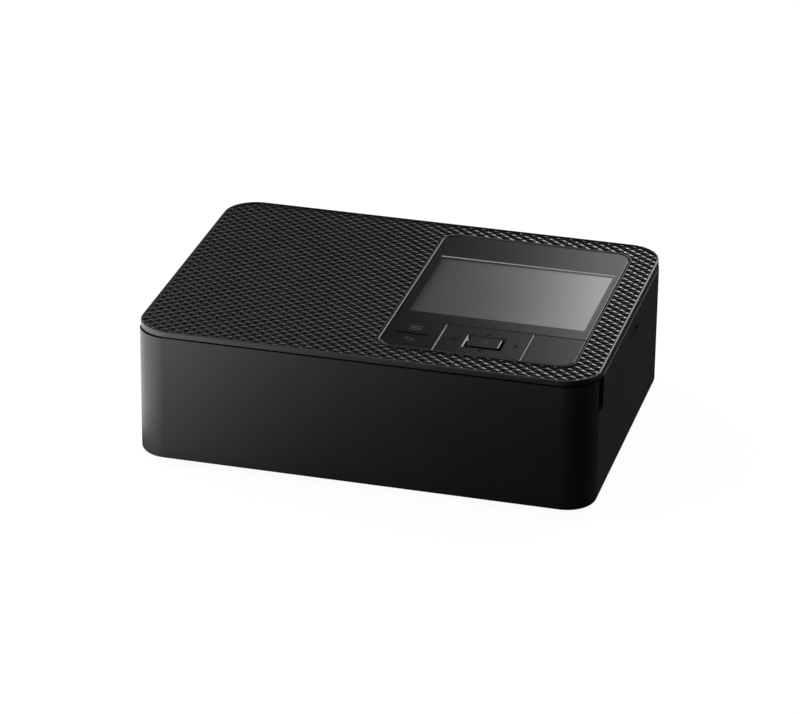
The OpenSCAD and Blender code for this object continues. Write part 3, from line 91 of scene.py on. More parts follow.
class Nodes:
    """A small builder for one node tree."""

    def __init__(self, tree):
        self.tree = tree
        tree.nodes.clear()

    def add(self, kind, inputs=None, **settings):
        """A new node. Each input is a socket, which is linked, or a plain value."""
        node = self.tree.nodes.new(kind)
        for name, value in settings.items():
            setattr(node, name, value)
        for key, value in (inputs or {}).items():
            if isinstance(value, bpy.types.NodeSocket):
                self.tree.links.new(value, node.inputs[key])
            else:
                node.inputs[key].default_value = value
        return node

    def math(self, operation, a, b=0.0):
        return self.add("ShaderNodeMath", {0: a, 1: b}, operation=operation).outputs[0]

    def times(self, a, b):
        return self.math("MULTIPLY", a, b)

    def larger(self, a, b):
        return self.math("MAXIMUM", a, b)

    def ramp(self, value, low, high, to_low=0.0, to_high=1.0, smooth=False):
        kind = "SMOOTHSTEP" if smooth else "LINEAR"
        return self.add("ShaderNodeMapRange",
                        {"Value": value, "From Min": low, "From Max": high,
                         "To Min": to_low, "To Max": to_high},
                        interpolation_type=kind).outputs["Result"]

    def mix(self, factor, a, b):
        """Mixes two colours, each a socket or a plain colour."""
        a, b = [colour if isinstance(colour, bpy.types.NodeSocket) else (*colour, 1.0)
                for colour in (a, b)]
        return self.add("ShaderNodeMix", {0: factor, 6: a, 7: b}, data_type="RGBA").outputs[2]

    def mix_numbers(self, factor, a, b):
        return self.add("ShaderNodeMix", {0: factor, 2: a, 3: b}, data_type="FLOAT").outputs[0]

    def noise(self, where, scale, detail=2.0, roughness=0.5):
        return self.add("ShaderNodeTexNoise",
                        {"Vector": where, "Scale": scale, "Detail": detail,
                         "Roughness": roughness}).outputs["Fac"]

    def bump(self, height, strength, distance):
        return self.add("ShaderNodeBump", {"Height": height, "Strength": strength,
                                           "Distance": distance}).outputs["Normal"]

    def object_place(self):
        return self.add("ShaderNodeTexCoord").outputs["Object"]

    def split(self, vector):
        return self.add("ShaderNodeSeparateXYZ", {"Vector": vector}).outputs

    def emission(self, strength):
        return self.add("ShaderNodeEmission",
                        {"Color": (1, 1, 1, 1), "Strength": strength}).outputs[0]

    def glossy_ray(self):
        return self.add("ShaderNodeLightPath").outputs["Is Glossy Ray"]

    def straight_view(self):
        """1 for what the camera sees, straight or through glass, and 0 for any other ray."""
        path = self.add("ShaderNodeLightPath")
        return self.larger(path.outputs["Is Camera Ray"], path.outputs["Is Transmission Ray"])

    def principled(self, inputs):
        """Ends the tree in one principled surface."""
        shader = self.add("ShaderNodeBsdfPrincipled", inputs)
        self.add("ShaderNodeOutputMaterial", {"Surface": shader.outputs[0]})


def new_material(name):
    """An empty material, and the builder of its node tree."""
    material = bpy.data.materials.new(name)
    material.use_nodes = True
    return material, Nodes(material.node_tree)


def grey(level):
    return (level, level, level)


def tinted(colour, factor):
    return tuple(min(1.0, c * factor) for c in colour)


# ---------------------------------------------------------------- finishes
# a box in mm painted dead black as shade, and how much of the gloss it takes away
ShadeZone = namedtuple("ShadeZone", "x y z share")

# painted shade in the seam of the panel between the window and the keys
PANEL_SEAM_SHADE = [ShadeZone(x=(2.0, 80.5), y=(-29.0, -28.15), z=(56.0, 57.5), share=1.0)]
# painted shade on the strip of the lid beside the panel, where the gap is
LID_GAP_SHADE = [ShadeZone(x=(79.9, 80.5), y=(-50.0, 52.0), z=(55.0, 57.15), share=1.0)]
# painted shade on the chamfer beside the lid's seam, and inside the card slot
SHELL_RECESS_SHADE = [ShadeZone(x=(50.0, 92.0), y=(-60.0, 60.0), z=(53.3, 53.61), share=0.5),
                  ShadeZone(x=(70.0, 90.9), y=(-9.9, 14.7), z=(44.8, 47.4), share=1.0)]

CLOUD_SCALE = 38.0          # colour clouds, per metre
GRAIN_DEPTH = 0.35          # depth of the grain, as a share of its size
# black of the painted shade, and of black print
DEAD_BLACK = grey(0.002)


def painted_shade_mask(n, place, zones):
    """How much painted shade a point gets: the share of the zone that it is in, and 0 outside all
    of them.
    """
    axes = n.split(place)
    total = None
    for zone in zones:
        inside = zone.share
        for axis, (low, high) in zip(axes, (zone.x, zone.y, zone.z)):
            above = n.math("GREATER_THAN", axis, low * MM)
            below = n.math("LESS_THAN", axis, high * MM)
            inside = n.times(inside, n.times(above, below))
        total = inside if total is None else n.larger(total, inside)
    return total


def finish_material(name, colour, rough, grain, grain_size, mottle=0.12, rough_spread=0.05,
                    stretch=(1, 1, 1), constants=None, painted_shade_zones=()):
    """A moulded, turned or painted finish: colour mottling, uneven gloss and a fine bump.

    grain is the strength of the bump and grain_size its size in mm. mottle is the change of
    the colour and rough_spread that of the roughness. The last argument holds the zones of
    painted shade, which are mixed to black and lose their gloss.
    """
    material, n = new_material(name)
    place = n.object_place()
    where = n.add("ShaderNodeMapping", {"Vector": place, "Scale": stretch}).outputs[0]
    broad = n.noise(where, CLOUD_SCALE, 3.0, 0.55)
    fine = n.noise(where, 1.0 / (grain_size * MM), 2.0, 0.6)
    base = n.mix(n.ramp(broad, NOISE_LOW, NOISE_HIGH),
                 tinted(colour, 1 - mottle), tinted(colour, 1 + mottle))
    both = n.math("ADD", n.times(broad, 0.6), n.times(fine, 0.4))
    gloss = n.ramp(both, NOISE_LOW, NOISE_HIGH,
                   max(0.02, rough - rough_spread), min(1.0, rough + rough_spread))
    # painted shade: in its zones the colour is mixed to dead black and the gloss taken away
    if painted_shade_zones:
        mask = painted_shade_mask(n, place, painted_shade_zones)
        base = n.mix(mask, base, DEAD_BLACK)
        gloss = n.larger(gloss, mask)
    normal = n.bump(fine, grain, grain_size * MM * GRAIN_DEPTH)
    n.principled({"Base Color": base, "Roughness": gloss, "Normal": normal, **(constants or {})})
    return material


def shine(level):
    """Strength of the reflection of a plastic, where 0.5 is the common one."""
    return {"Specular IOR Level": level}


METAL = {"Metallic": 1.0}
SATIN_BLACK = dict(colour=grey(0.0095), rough=0.38, grain=0.12, grain_size=0.22,
                   rough_spread=0.03)
LOOKS = {
    # outside: housing, lid, panel and keys
    "satin_black_plastic": dict(SATIN_BLACK, constants=shine(0.75)),
    "shell_plastic": dict(SATIN_BLACK, constants=shine(0.75), painted_shade_zones=SHELL_RECESS_SHADE),
    "lid_plastic": dict(SATIN_BLACK, constants=shine(1.0), painted_shade_zones=LID_GAP_SHADE),
    "gloss_black_panel": dict(
        colour=(0.0100, 0.0100, 0.0102), rough=0.12, grain=0.02, grain_size=0.9, mottle=0.06,
        rough_spread=0.015, constants={"IOR": 1.7}, painted_shade_zones=PANEL_SEAM_SHADE),
    "black_key": dict(
        colour=(0.0095, 0.0095, 0.0098), rough=0.14, grain=0.02, grain_size=0.5, mottle=0.06,
        rough_spread=0.015, constants=shine(0.48), painted_shade_zones=PANEL_SEAM_SHADE),
    "rubber_black": dict(
        colour=grey(0.013), rough=0.72, grain=0.25, grain_size=0.3, mottle=0.2),
    # outside: knurl, painted highlights on the screen, legends, and painted shade in valleys and
    # gaps
    "knurl_skin": dict(
        colour=(0.0070, 0.0070, 0.0072), rough=0.21, grain=0.06, grain_size=0.3,
        rough_spread=0.03, constants=shine(0.55)),
    # painted shade at the foot of the knurl's flanks, along the valleys
    "valley_shade_black": dict(
        colour=DEAD_BLACK, rough=0.7, grain=0.05, grain_size=0.3, mottle=0.1,
        constants=shine(0.04)),
    # black print of the chevrons, and painted shade over the gap beside the panel
    "print_and_shade_black": dict(
        colour=DEAD_BLACK, rough=0.9, grain=0.05, grain_size=0.2, mottle=0.1,
        constants=shine(0.02)),
    # painted shade in the card slot on its socket, also the colour of the ribs behind the front
    # cover
    "slot_shade_black": dict(
        colour=grey(0.003), rough=0.7, grain=0.05, grain_size=0.2, mottle=0.1,
        constants=shine(0.1)),
    "legend_grey": dict(
        colour=grey(0.10), rough=0.5, grain=0.05, grain_size=0.2, mottle=0.08),
    # painted highlight along the screen's right edge
    "right_highlight_paint": dict(
        colour=(0.34, 0.34, 0.33), rough=0.3, grain=0.02, grain_size=0.5, mottle=0.05),
    # painted highlight behind the screen's rear edge, for the lit rear wall of its recess
    "rear_highlight_paint": dict(
        colour=(0.60, 0.60, 0.58), rough=0.25, grain=0.02, grain_size=0.5, mottle=0.05),
    # inside: metals
    "steel_sheet": dict(
        colour=(0.56, 0.57, 0.58), rough=0.36, grain=0.08, grain_size=0.5, mottle=0.05,
        stretch=(1, 6, 6), constants=METAL),
    "steel_shaft": dict(
        colour=(0.62, 0.62, 0.63), rough=0.22, grain=0.05, grain_size=0.2, mottle=0.04,
        stretch=(20, 1, 1), constants=METAL),
    "aluminium": dict(
        colour=(0.70, 0.71, 0.72), rough=0.34, grain=0.06, grain_size=0.4, mottle=0.04,
        stretch=(0.2, 3, 3), constants=METAL),
    "brass": dict(
        colour=(0.62, 0.43, 0.16), rough=0.27, grain=0.05, grain_size=0.2, mottle=0.06,
        constants=METAL),
    # inside: plastics and film
    "black_part": dict(colour=(0.016, 0.016, 0.017), rough=0.38, grain=0.1, grain_size=0.3),
    "chip_black": dict(
        colour=(0.020, 0.020, 0.022), rough=0.48, grain=0.15, grain_size=0.15, mottle=0.15),
    "white_gear": dict(
        colour=(0.62, 0.60, 0.54), rough=0.42, grain=0.05, grain_size=0.3, mottle=0.04),
    "bush_plastic": dict(
        colour=(0.48, 0.44, 0.34), rough=0.5, grain=0.08, grain_size=0.3, mottle=0.06),
    "cassette_grey": dict(
        colour=(0.30, 0.31, 0.33), rough=0.46, grain=0.15, grain_size=0.25, mottle=0.05),
    "film_brown": dict(
        colour=(0.040, 0.022, 0.020), rough=0.16, grain=0.03, grain_size=1.2, mottle=0.25,
        stretch=(1, 12, 12)),
    "lever_orange": dict(
        colour=(0.62, 0.17, 0.03), rough=0.4, grain=0.08, grain_size=0.3, mottle=0.06),
}


def board_material():
    """Green solder mask with fine copper tracks showing through it."""
    material, n = new_material("circuit_board")
    place = n.object_place()
    tracks = n.add("ShaderNodeTexBrick",
                   {"Vector": place, "Scale": 260.0, "Mortar Size": 0.06,
                    "Color1": (0, 0, 0, 1), "Color2": (0.3, 0.3, 0.3, 1), "Mortar": (1, 1, 1, 1)},
                   offset=0.37).outputs["Color"]
    track = n.add("ShaderNodeSeparateColor", {"Color": tracks}).outputs[0]
    base = n.mix(track, (0.008, 0.060, 0.022), (0.030, 0.130, 0.045))
    cloud = n.noise(place, 60.0, 3.0)
    base = n.mix(n.times(cloud, 0.25), base, (0.004, 0.040, 0.014))
    n.principled({"Base Color": base, "Roughness": n.ramp(track, 0, 1, 0.28, 0.38),
                  "Normal": n.bump(track, 0.25, 0.04 * MM)})
    return material


def cable_material():
    """Flat flexible cable: fine conductors side by side under a clear film."""
    material, n = new_material("cable_grey")
    lines = n.add("ShaderNodeTexWave",
                  {"Vector": n.object_place(), "Scale": 480.0, "Distortion": 0.0},
                  bands_direction="Y").outputs["Fac"]
    base = n.mix(n.ramp(lines, 0.35, 0.65), (0.42, 0.43, 0.45), (0.66, 0.66, 0.68))
    n.principled({"Base Color": base, "Roughness": n.ramp(lines, 0, 1, 0.25, 0.35),
                  "Normal": n.bump(lines, 0.3, 0.05 * MM)})
    return material


# lit part of the screen seen through the window, in mm
SCREEN_LEFT, SCREEN_RIGHT = 7.4, 77.3
SCREEN_FRONT, SCREEN_REAR = -20.5, 31.4


def screen_material():
    """Unlit liquid crystal screen: a soft grey face with painted shade along its left and rear
    edges.
    """
    material, n = new_material("screen_glass")
    place = n.object_place()
    x, y, _ = n.split(place)
    from_left = n.ramp(x, (SCREEN_LEFT - 2.0) * MM, (SCREEN_LEFT + 5.0) * MM, smooth=True)
    from_rear = n.ramp(y, (SCREEN_REAR + 0.2) * MM, (SCREEN_REAR - 2.2) * MM, smooth=True)
    cloud = n.noise(place, 30.0, 2.0)
    face = n.mix(n.times(cloud, 0.3), (0.115, 0.115, 0.110), (0.130, 0.130, 0.124))
    # painted shade: the face darkens towards its left and rear edges, under the window's recess
    base = n.mix(n.times(from_left, from_rear), grey(0.010), face)
    n.principled({"Base Color": base, "IOR": 4.6,
                  "Roughness": n.ramp(cloud, NOISE_LOW, NOISE_HIGH, 0.09, 0.12)})
    return material


FINISHES = {finish: finish_material(finish, **look) for finish, look in LOOKS.items()}
FINISHES["circuit_board"] = board_material()
FINISHES["cable_grey"] = cable_material()
FINISHES["screen_glass"] = screen_material()

# CAD nodes with a finish of their own; the others have that of their material slot
# the socket's near-black finish is painted shade in the card slot; the shell's and lid's finishes
# carry painted shade in their zones
OWN_FINISH = {"body_shell": "shell_plastic", "top_cover": "lid_plastic",
              "sd_socket": "slot_shade_black"}

for row in frame["record"]["subparts"]:
    finish = OWN_FINISH.get(row["node"], row["material_slot"])
    materials = frame["nodes"][row["node"]].data.materials
    materials.clear()
    materials.append(FINISHES[finish])


# ---------------------------------------------------------------- mesh helpers
def new_piece(name, mesh_builder, finish, body=None):
    """Makes an object from a bmesh, dresses it and lets it ride on its body, if it has one."""
    mesh = bpy.data.meshes.new(name)
    bm = bmesh.new()
    mesh_builder(bm)
    bmesh.ops.recalc_face_normals(bm, faces=bm.faces)
    bm.to_mesh(mesh)
    bm.free()
    obj = bpy.data.objects.new(name, mesh)
    scene.collection.objects.link(obj)
    mesh.materials.append(FINISHES[finish])
    if body:
        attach(obj, body)
    return obj


def prism(bm, outline, low, high):
    """A closed upright solid over a plan outline, in mm. high is a height, or one per point."""
    tops = high if isinstance(high, list) else [high] * len(outline)
    bottom = [bm.verts.new((x * MM, y * MM, low * MM)) for x, y in outline]
    top = [bm.verts.new((x * MM, y * MM, z * MM)) for (x, y), z in zip(outline, tops)]
    bm.faces.new(bottom[::-1])
    bm.faces.new(top)
    for i in range(len(outline)):
        j = (i + 1) % len(outline)
        bm.faces.new((bottom[i], bottom[j], top[j], top[i]))


def arc(cx, cy, radius, start, end, steps):
    """Points along an arc, with the angles in degrees."""
    angles = [math.radians(start + (end - start) * i / steps) for i in range(steps + 1)]
    return [(cx + radius * math.cos(a), cy + radius * math.sin(a)) for a in angles]


def rounded(x0, x1, y0, y1, radius, steps=12):
    """Outline of a rounded rectangle, anticlockwise."""
    centres = ((x1 - radius, y1 - radius), (x0 + radius, y1 - radius),
               (x0 + radius, y0 + radius), (x1 - radius, y0 + radius))
    points = []
    for quarter, (cx, cy) in enumerate(centres):
        points += arc(cx, cy, radius, 90 * quarter, 90 * quarter + 90, steps)
    return points


def stroke(path, width):
    """Outline of an open stroke along path, with mitred corners."""
    left, right = [], []
    for i, point in enumerate(path):
        before = Vector(path[max(i - 1, 0)])
        after = Vector(path[min(i + 1, len(path) - 1)])
        here = Vector(point)
        directions = [d.normalized() for d in (here - before, after - here) if d.length > 1e-9]
        along = sum(directions, Vector((0, 0))).normalized()
        across = Vector((-along.y, along.x))
        reach = width / 2 / max(0.4, directions[0].dot(along))
        left.append(tuple(here + across * reach))
        right.append(tuple(here - across * reach))
    return left + right[::-1]


def placed(points, centre, turn_degrees):
    """Points turned about the origin and moved to centre."""
    c, s = math.cos(math.radians(turn_degrees)), math.sin(math.radians(turn_degrees))
    return [(centre[0] + x * c - y * s, centre[1] + x * s + y * c) for x, y in points]


# ---------------------------------------------------------------- knurled top
# heights of the knurled sheet in mm: underside, valleys and tips
SHEET_Z, VALLEY_Z, TIP_Z = 57.06, 57.20, 57.58
# from a pyramid's tip to its corners, and the share of each flank that is glossy; the rest, along
# the valleys, is painted shade
PITCH_X, PITCH_Y = 2.62, 2.133
GLOSSY_SHARE = 0.88
# the sheet is the lid's outline moved inwards, with a hole that the panel lies in
LID_CORNER, SHEET_INSET = 13.5, 0.72
SHEET_HALF_X = side("top_cover", HIGH, X) - SHEET_INSET
SHEET_HALF_Y = side("top_cover", HIGH, Y) - SHEET_INSET
SHEET_CORNER = LID_CORNER - SHEET_INSET
HOLE_X, HOLE_Y, HOLE_CORNER = (2.5, 80.6), (-54.0, 56.3), 6.5
CUTTER_Z = (50.0, 65.0)


def knurl_sheet(bm):
    """Rhombic pyramids side by side over the whole top, closed underneath.

    The upper part of each flank is glossy and the foot along the valleys is painted shade in
    black.
    """
    nx = math.ceil(SHEET_HALF_X / PITCH_X) + 1
    ny = math.ceil(SHEET_HALF_Y / PITCH_Y) + 1
    grid = {}
    for i in range(-nx, nx + 1):
        for j in range(-ny, ny + 1):
            z = TIP_Z if (i + j) % 2 == 0 else VALLEY_Z
            grid[i, j] = bm.verts.new((i * PITCH_X * MM, j * PITCH_Y * MM, z * MM))
    tips = [(place, vert) for place, vert in grid.items() if sum(place) % 2 == 0]
    for (i, j), tip in tips:
        around = [grid.get(k) for k in ((i + 1, j), (i, j + 1), (i - 1, j), (i, j - 1))]
        upper = [bm.verts.new(tip.co.lerp(v.co, GLOSSY_SHARE)) if v else None for v in around]
        for k in range(4):
            a, b = around[k], around[(k + 1) % 4]
            if a and b:
                c, d = upper[k], upper[(k + 1) % 4]
                bm.faces.new((tip, c, d))
                # the foot of each flank takes the painted shade of the valleys
                bm.faces.new((c, a, b, d)).material_index = 1
    bare = [v for v in bm.verts if not v.link_faces]
    bmesh.ops.delete(bm, geom=bare, context="VERTS")
    rim = [e for e in bm.edges if e.is_boundary]
    made = bmesh.ops.extrude_edge_only(bm, edges=rim)["geom"]
    for vert in [v for v in made if isinstance(v, bmesh.types.BMVert)]:
        vert.co.z = SHEET_Z * MM
    foot = [e for e in made if isinstance(e, bmesh.types.BMEdge)]
    bmesh.ops.contextual_create(bm, geom=foot)


def cut(target, operation, outline):
    """Trims target with a prism over the given outline and bakes the result."""
    cutter = new_piece("cutter", lambda bm: prism(bm, outline, *CUTTER_Z), "print_and_shade_black")
    step = target.modifiers.new("trim", "BOOLEAN")
    step.operation = operation
    step.solver = "EXACT"
    step.object = cutter
    bpy.context.view_layer.update()
    graph = bpy.context.evaluated_depsgraph_get()
    mesh = bpy.data.meshes.new_from_object(target.evaluated_get(graph))
    target.modifiers.clear()
    target.data = mesh
    bpy.data.objects.remove(cutter)


knurl = new_piece("knurled_top", knurl_sheet, "knurl_skin")
# second finish: painted shade along the valleys
knurl.data.materials.append(FINISHES["valley_shade_black"])
cut(knurl, "INTERSECT",
    rounded(-SHEET_HALF_X, SHEET_HALF_X, -SHEET_HALF_Y, SHEET_HALF_Y, SHEET_CORNER))
cut(knurl, "DIFFERENCE", rounded(*HOLE_X, *HOLE_Y, HOLE_CORNER))
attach(knurl, "housing")

# ---------------------------------------------------------------- thin plates on the top
# top of the panel and keys, and how thick a printed skin is
GLASS_Z = side("control_panel_window", HIGH, Z)
SKIN = 0.03


def plate(name, outline, finish, body, z=GLASS_Z, thick=SKIN):
    """A flat piece over a plan outline in mm, with its underside at height z."""
    return new_piece(name, lambda bm: prism(bm, outline, z, z + thick), finish, body)


# ---------------------------------------------------------------- screen
# painted highlight: a bright strip behind the screen for the lit rear wall of its recess; its gap
# to the screen, its depth and its ends
STRIP_GAP, STRIP_DEPTH = 1.8, 0.9
STRIP_LEFT, STRIP_RIGHT = SCREEN_LEFT - 1.0, SCREEN_RIGHT + 0.6
STRIP_FRONT = SCREEN_REAR + STRIP_GAP
# painted highlight: a fine light line along the screen's right edge, which ends short of the rear
# edge
LINE_WIDTH, LINE_SHORT, LINE_SKIN = 0.35, 0.8, 0.01
SCREEN_CORNER, STRIP_CORNER, LINE_CORNER, CORNER_STEPS = 0.3, 0.2, 0.1, 3

plate("screen_face",
      rounded(SCREEN_LEFT, SCREEN_RIGHT, SCREEN_FRONT, SCREEN_REAR,
              SCREEN_CORNER, CORNER_STEPS),
      "screen_glass", "housing")
plate("screen_rear_highlight",
      rounded(STRIP_LEFT, STRIP_RIGHT, STRIP_FRONT, STRIP_FRONT + STRIP_DEPTH,
              STRIP_CORNER, CORNER_STEPS),
      "rear_highlight_paint", "housing")
plate("screen_right_highlight",
      rounded(SCREEN_RIGHT - LINE_WIDTH, SCREEN_RIGHT, SCREEN_FRONT, SCREEN_REAR - LINE_SHORT,
              LINE_CORNER, CORNER_STEPS),
      "right_highlight_paint", "housing", z=GLASS_Z + SKIN, thick=LINE_SKIN)

# ---------------------------------------------------------------- painted shade in the gap beside the panel
# painted shade: a black strip over the gap between the panel's right edge and the knurl,
# straight and then round the rear corner
GAP_X, GAP_FRONT_Y, GAP_REAR_Y = 80.22, -47.5, 49.8
GAP_CORNER, GAP_SWEEP, GAP_WIDTH = 6.12, 80, 0.7
GAP_Z, GAP_THICK = 57.15, 0.31

gap_path = [(GAP_X, GAP_FRONT_Y)] + arc(GAP_X - GAP_CORNER, GAP_REAR_Y, GAP_CORNER,
                                        0, GAP_SWEEP, 10)
plate("panel_gap_shade", stroke(gap_path, GAP_WIDTH), "print_and_shade_black", "housing",
      z=GAP_Z, thick=GAP_THICK)

# ---------------------------------------------------------------- legends
# centres of the keys and of their marks, in mm
MENU_BARS = (14.0, -35.7)
RETURN_ARROW = (14.0, -46.0)
OK_X, OK_Y = 42.8, -41.4
POWER_KEY = (70.0, -43.4)
OK_TOP_Z = side("ok_button", HIGH, Z)
# widths of the strokes
BAR_WIDTH, ARROW_WIDTH, CHEVRON_WIDTH, RING_WIDTH, POWER_WIDTH = 0.5, 0.36, 0.55, 0.26, 0.24
BAR_HALF, BAR_PITCH = 2.4, 1.5

# each path is in mm about the centre of its mark
ARROW_TAIL = [(-1.6, 0.75), (0.9, 0.75)] + arc(0.9, -0.1, 0.85, 90, -90, 8) + [(-0.4, -0.95)]
ARROW_HEAD = [(-0.75, 1.65), (-1.75, 0.75), (-0.75, -0.15)]
CHEVRON = [(0.55, 1.05), (-0.5, 0.0), (0.55, -1.05)]
OK_RING = arc(0, 0, 1.0, 0, 352, 30)
POWER_RING = arc(0, 0, 1.05, 125, 415, 24)
POWER_BAR = [(0, 0.35), (0, 1.45)]
# name, place from the OK button and turn of the four chevrons
CHEVRONS = (("left", -12.2, 0.0, 0), ("right", 12.2, 0.0, 180),
            ("rear", 0.0, 7.3, -90), ("front", 0.0, -7.4, 90))


def legend(name, path, centre, width, body, finish="legend_grey", turn_degrees=0.0, z=GLASS_Z):
    """A printed stroke on a key."""
    plate(name, placed(stroke(path, width), centre, turn_degrees), finish, body, z)


for index in range(3):
    bar_y = (index - 1) * BAR_PITCH
    legend(f"menu_bar_{index}", [(-BAR_HALF, bar_y), (BAR_HALF, bar_y)], MENU_BARS, BAR_WIDTH,
           "menu_back_key")
legend("return_arrow_tail", ARROW_TAIL, RETURN_ARROW, ARROW_WIDTH, "menu_back_key")
legend("return_arrow_head", ARROW_HEAD, RETURN_ARROW, ARROW_WIDTH, "menu_back_key")
for name, away_x, away_y, turn in CHEVRONS:
    legend(f"chevron_{name}", CHEVRON, (OK_X + away_x, OK_Y + away_y), CHEVRON_WIDTH,
           "direction_key", "print_and_shade_black", turn)
legend("ok_ring", OK_RING, (OK_X, OK_Y), RING_WIDTH, "ok_button", z=OK_TOP_Z)
legend("power_ring", POWER_RING, POWER_KEY, POWER_WIDTH, "power_key")
legend("power_bar", POWER_BAR, POWER_KEY, POWER_WIDTH, "power_key")

# ---------------------------------------------------------------- ribs and wedge
# thin ribs on the front wall stop the light that would pass behind the front cover
RIB_X, RIB_HALF_WIDTH = 86.0, 0.5
RIB_FRONT_Y, RIB_REAR_Y = -57.2, -55.5
RIB_FOOT_Z, RIB_HEIGHT = 5.0, 45.0

for name, rib_x in (("right", RIB_X), ("left", -RIB_X)):
    rib_left, rib_right = rib_x - RIB_HALF_WIDTH, rib_x + RIB_HALF_WIDTH
    outline = [(rib_left, RIB_FRONT_Y), (rib_right, RIB_FRONT_Y),
               (rib_right, RIB_REAR_Y), (rib_left, RIB_REAR_Y)]
    plate(f"front_rib_{name}", outline, "slot_shade_black", "housing", z=RIB_FOOT_Z,
          thick=RIB_HEIGHT)

# on the left side a wedge on the shell's rim fills the space under the lid's rising brow
SHELL_RIM_Z, BROW_Z = side("body_shell", HIGH, Z), 55.35
BROW_REAR_Y, BROW_FRONT_Y = -48.0, -55.7
BROW_INNER_X, SHELL_LEFT_X = -89.0, side("body_shell", LOW, X)
# the outer face follows the shell's side and the start of its rounded corner
BROW_OUTER = [(SHELL_LEFT_X, BROW_REAR_Y), (SHELL_LEFT_X, -53.0),
              (SHELL_LEFT_X + 0.07, -54.4), (SHELL_LEFT_X + 0.27, BROW_FRONT_Y)]
BROW_CLEARANCE = 0.3
WEDGE_DEPTH = 0.4


def brow_wedge(bm):
    outline = BROW_OUTER + [(BROW_INNER_X, BROW_FRONT_Y), (BROW_INNER_X, BROW_REAR_Y)]
    slope = (BROW_Z - BROW_CLEARANCE - SHELL_RIM_Z) / (BROW_REAR_Y - BROW_FRONT_Y)
    tops = [SHELL_RIM_Z + (BROW_REAR_Y - y) * slope for _, y in outline]
    prism(bm, outline, SHELL_RIM_Z - WEDGE_DEPTH, tops)


new_piece("brow_wedge", brow_wedge, "satin_black_plastic", "housing")

# ---------------------------------------------------------------- floor
# places on the floor and in the room are in metres
FLOOR_REACH = 6.0
# what the camera sees of the floor, to which the veil adds the light that falls on it
WHITE_OF_FLOOR, VEIL = 0.95, grey(0.16)
# in reflections it brightens from here to the left, up to a cap
GLOW_START_X, GLOW_GROWTH = -0.105, 23.5
GLOW_CAP = 1.9
RIGHT_GLOW = 0.018
# where the glow fades in: in front and to the left of the object, and beside its right side
FRONT_FADE_Y = (-0.05, -0.08)
LEFT_FADE_X, REAR_FADE_Y = (-0.10, -0.115), (0.20, 0.12)
RIGHT_FADE_X, RIGHT_FADE_Y = (0.0910, 0.0916), (-0.07, -0.055)


def floor_glow(n, place):
    """How bright the floor is in reflections: strongly on the left, barely on the right."""
    x, y, _ = n.split(place)
    ahead = n.ramp(y, *FRONT_FADE_Y)
    beside = n.times(n.ramp(x, *LEFT_FADE_X), n.ramp(y, *REAR_FADE_Y))
    growth = n.math("EXPONENT", n.times(n.math("ADD", x, -GLOW_START_X), -GLOW_GROWTH))
    left = n.times(n.math("MINIMUM", growth, GLOW_CAP), n.larger(ahead, beside))
    right = n.times(n.ramp(x, *RIGHT_FADE_X, 0.0, RIGHT_GLOW), n.ramp(y, *RIGHT_FADE_Y))
    return n.larger(left, right)


def floor_material():
    """Pale floor: white to the camera with a soft shadow, a glow brightening to the left to
    mirrors, and a sheet of paper lit by the lamps to other rays.
    """
    material, n = new_material("studio_floor")
    place = n.add("ShaderNodeNewGeometry").outputs["Position"]
    tone = n.mix(n.noise(place, 3.0, 2.0), grey(0.60), grey(0.64))
    paper = n.add("ShaderNodeBsdfDiffuse", {"Color": tone}).outputs[0]
    veil = n.add("ShaderNodeBsdfDiffuse", {"Color": (*VEIL, 1.0)}).outputs[0]
    seen = n.add("ShaderNodeAddShader", {0: n.emission(WHITE_OF_FLOOR), 1: veil}).outputs[0]
    unseen = n.add("ShaderNodeMixShader",
                   {0: n.glossy_ray(), 1: paper, 2: n.emission(floor_glow(n, place))})
    surface = n.add("ShaderNodeMixShader",
                    {0: n.straight_view(), 1: unseen.outputs[0], 2: seen})
    n.add("ShaderNodeOutputMaterial", {"Surface": surface.outputs[0]})
    return material


def floor_plane(bm):
    corners = ((-1, -1), (1, -1), (1, 1), (-1, 1))
    bm.faces.new([bm.verts.new((x * FLOOR_REACH, y * FLOOR_REACH, 0.0)) for x, y in corners])


FINISHES["floor"] = floor_material()
floor = new_piece("studio_floor", floor_plane, "floor")

# ---------------------------------------------------------------- world
SOFT_LIGHT = 0.14               # what lights the matt surfaces
SWEEP_GROWTH = 65.0
# ramps over the ray's direction: from, to and, where there are four numbers, the values there
SWEEP_START = (0.12, 0.35, 0.132, 0.180)
CEILING = (0.57, 0.48)
LOW_GLOW_HEIGHT, LOW_GLOW_ACROSS = (0.20, 0.36, 0.40, 0.02), (-0.10, -0.28, 0.10, 1.6)
HIGH_GLOW_HEIGHT, HIGH_GLOW_ACROSS = (0.48, 0.57), (-0.37, -0.46, 0.03, 0.35)
BEFORE_ACROSS = (-0.9, 0.3, 0.45, 0.02)
BEHIND_DEPTH = (0.0, 0.5)


def backdrop_glow(w, across, height):
    """Backdrop behind the object, as reflections see it.

    across and height are parts of the direction of the ray, from -1 to 1. The backdrop
    brightens quickly from left to right up to a ceiling height, has a low glow on the far
    left and a faint high one above it.
    """
    start = w.ramp(height, *SWEEP_START)
    steep = w.math("EXPONENT", w.times(w.math("ADD", across, start), SWEEP_GROWTH))
    below_ceiling = w.ramp(height, *CEILING, smooth=True)
    sweep = w.times(w.math("MINIMUM", steep, 1.0), below_ceiling)
    low_glow = w.times(w.ramp(height, *LOW_GLOW_HEIGHT), w.ramp(across, *LOW_GLOW_ACROSS))
    high_glow = w.times(w.ramp(height, *HIGH_GLOW_HEIGHT), w.ramp(across, *HIGH_GLOW_ACROSS))
    return w.larger(w.larger(sweep, low_glow), high_glow)


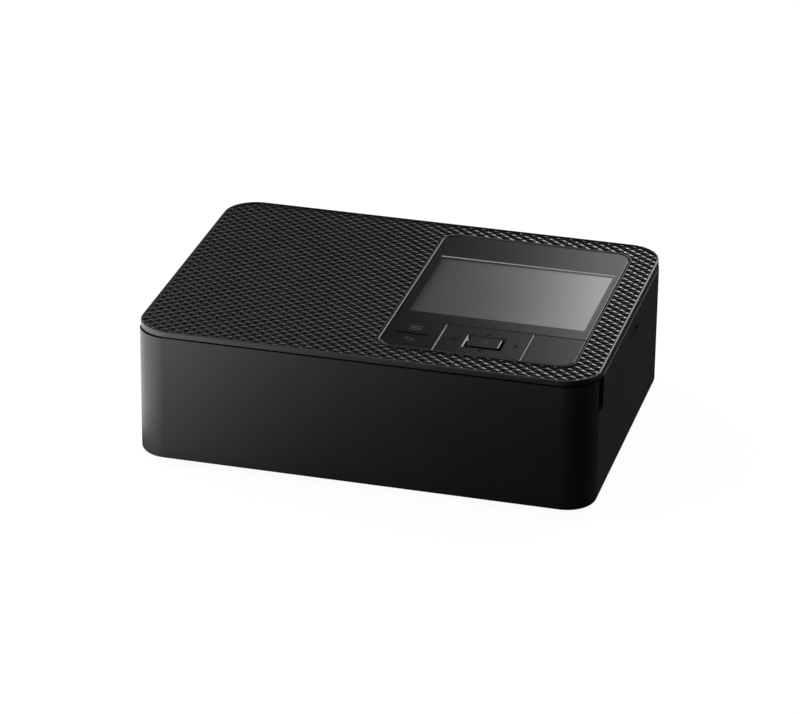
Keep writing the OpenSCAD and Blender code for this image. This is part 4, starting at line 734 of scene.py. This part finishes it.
def studio_world():
    """White to the camera, a graded studio to mirrors and a soft light to the rest."""
    world = bpy.data.worlds.new("studio_world")
    world.use_nodes = True
    w = Nodes(world.node_tree)
    across, depth, height = w.split(w.add("ShaderNodeTexCoord").outputs["Generated"])
    behind = w.ramp(depth, *BEHIND_DEPTH, smooth=True)
    before_glow = w.ramp(across, *BEFORE_ACROSS)
    mirrored = w.mix_numbers(behind, before_glow, backdrop_glow(w, across, height))
    unseen = w.mix_numbers(w.glossy_ray(), SOFT_LIGHT, mirrored)
    strength = w.mix_numbers(w.straight_view(), unseen, 1.0)
    shader = w.add("ShaderNodeBackground", {"Color": (1, 1, 1, 1), "Strength": strength})
    w.add("ShaderNodeOutputWorld", {"Surface": shader.outputs[0]})
    return world


scene.world = studio_world()

# ---------------------------------------------------------------- lamps
# each lamp: place and aim in metres, width and height in metres, power in watts
Lamp = namedtuple("Lamp", "name place aim width height power")
BODY = (0.0, 0.0, 0.03)
LAMPS = (Lamp("rear_right_box", (0.62, 1.30, 0.44), BODY, 1.25, 0.95, 8.5),
         Lamp("rear_low_box", (-0.08, 1.34, 0.13), BODY, 0.20, 0.20, 0.45),
         Lamp("left_box", (-1.12, 0.29, 0.54), BODY, 1.3, 1.3, 9.0),
         Lamp("front_box", (-1.00, -0.75, 0.25), BODY, 0.5, 0.5, 2.4),
         Lamp("top_box", (-0.2, -0.1, 1.6), (0.0, 0.0, 0.0), 1.0, 1.0, 2.0))


def softbox(lamp):
    """A rectangular area lamp that faces its aim."""
    data = bpy.data.lights.new(lamp.name, "AREA")
    data.shape = "RECTANGLE"
    data.size, data.size_y = lamp.width, lamp.height
    data.energy = lamp.power
    light = bpy.data.objects.new(lamp.name, data)
    scene.collection.objects.link(light)
    light.location = lamp.place
    light.rotation_mode = "QUATERNION"
    facing = Vector(lamp.aim) - Vector(lamp.place)
    light.rotation_quaternion = facing.to_track_quat("-Z", "Y")


for lamp in LAMPS:
    softbox(lamp)

scene.view_settings.view_transform = "Standard"
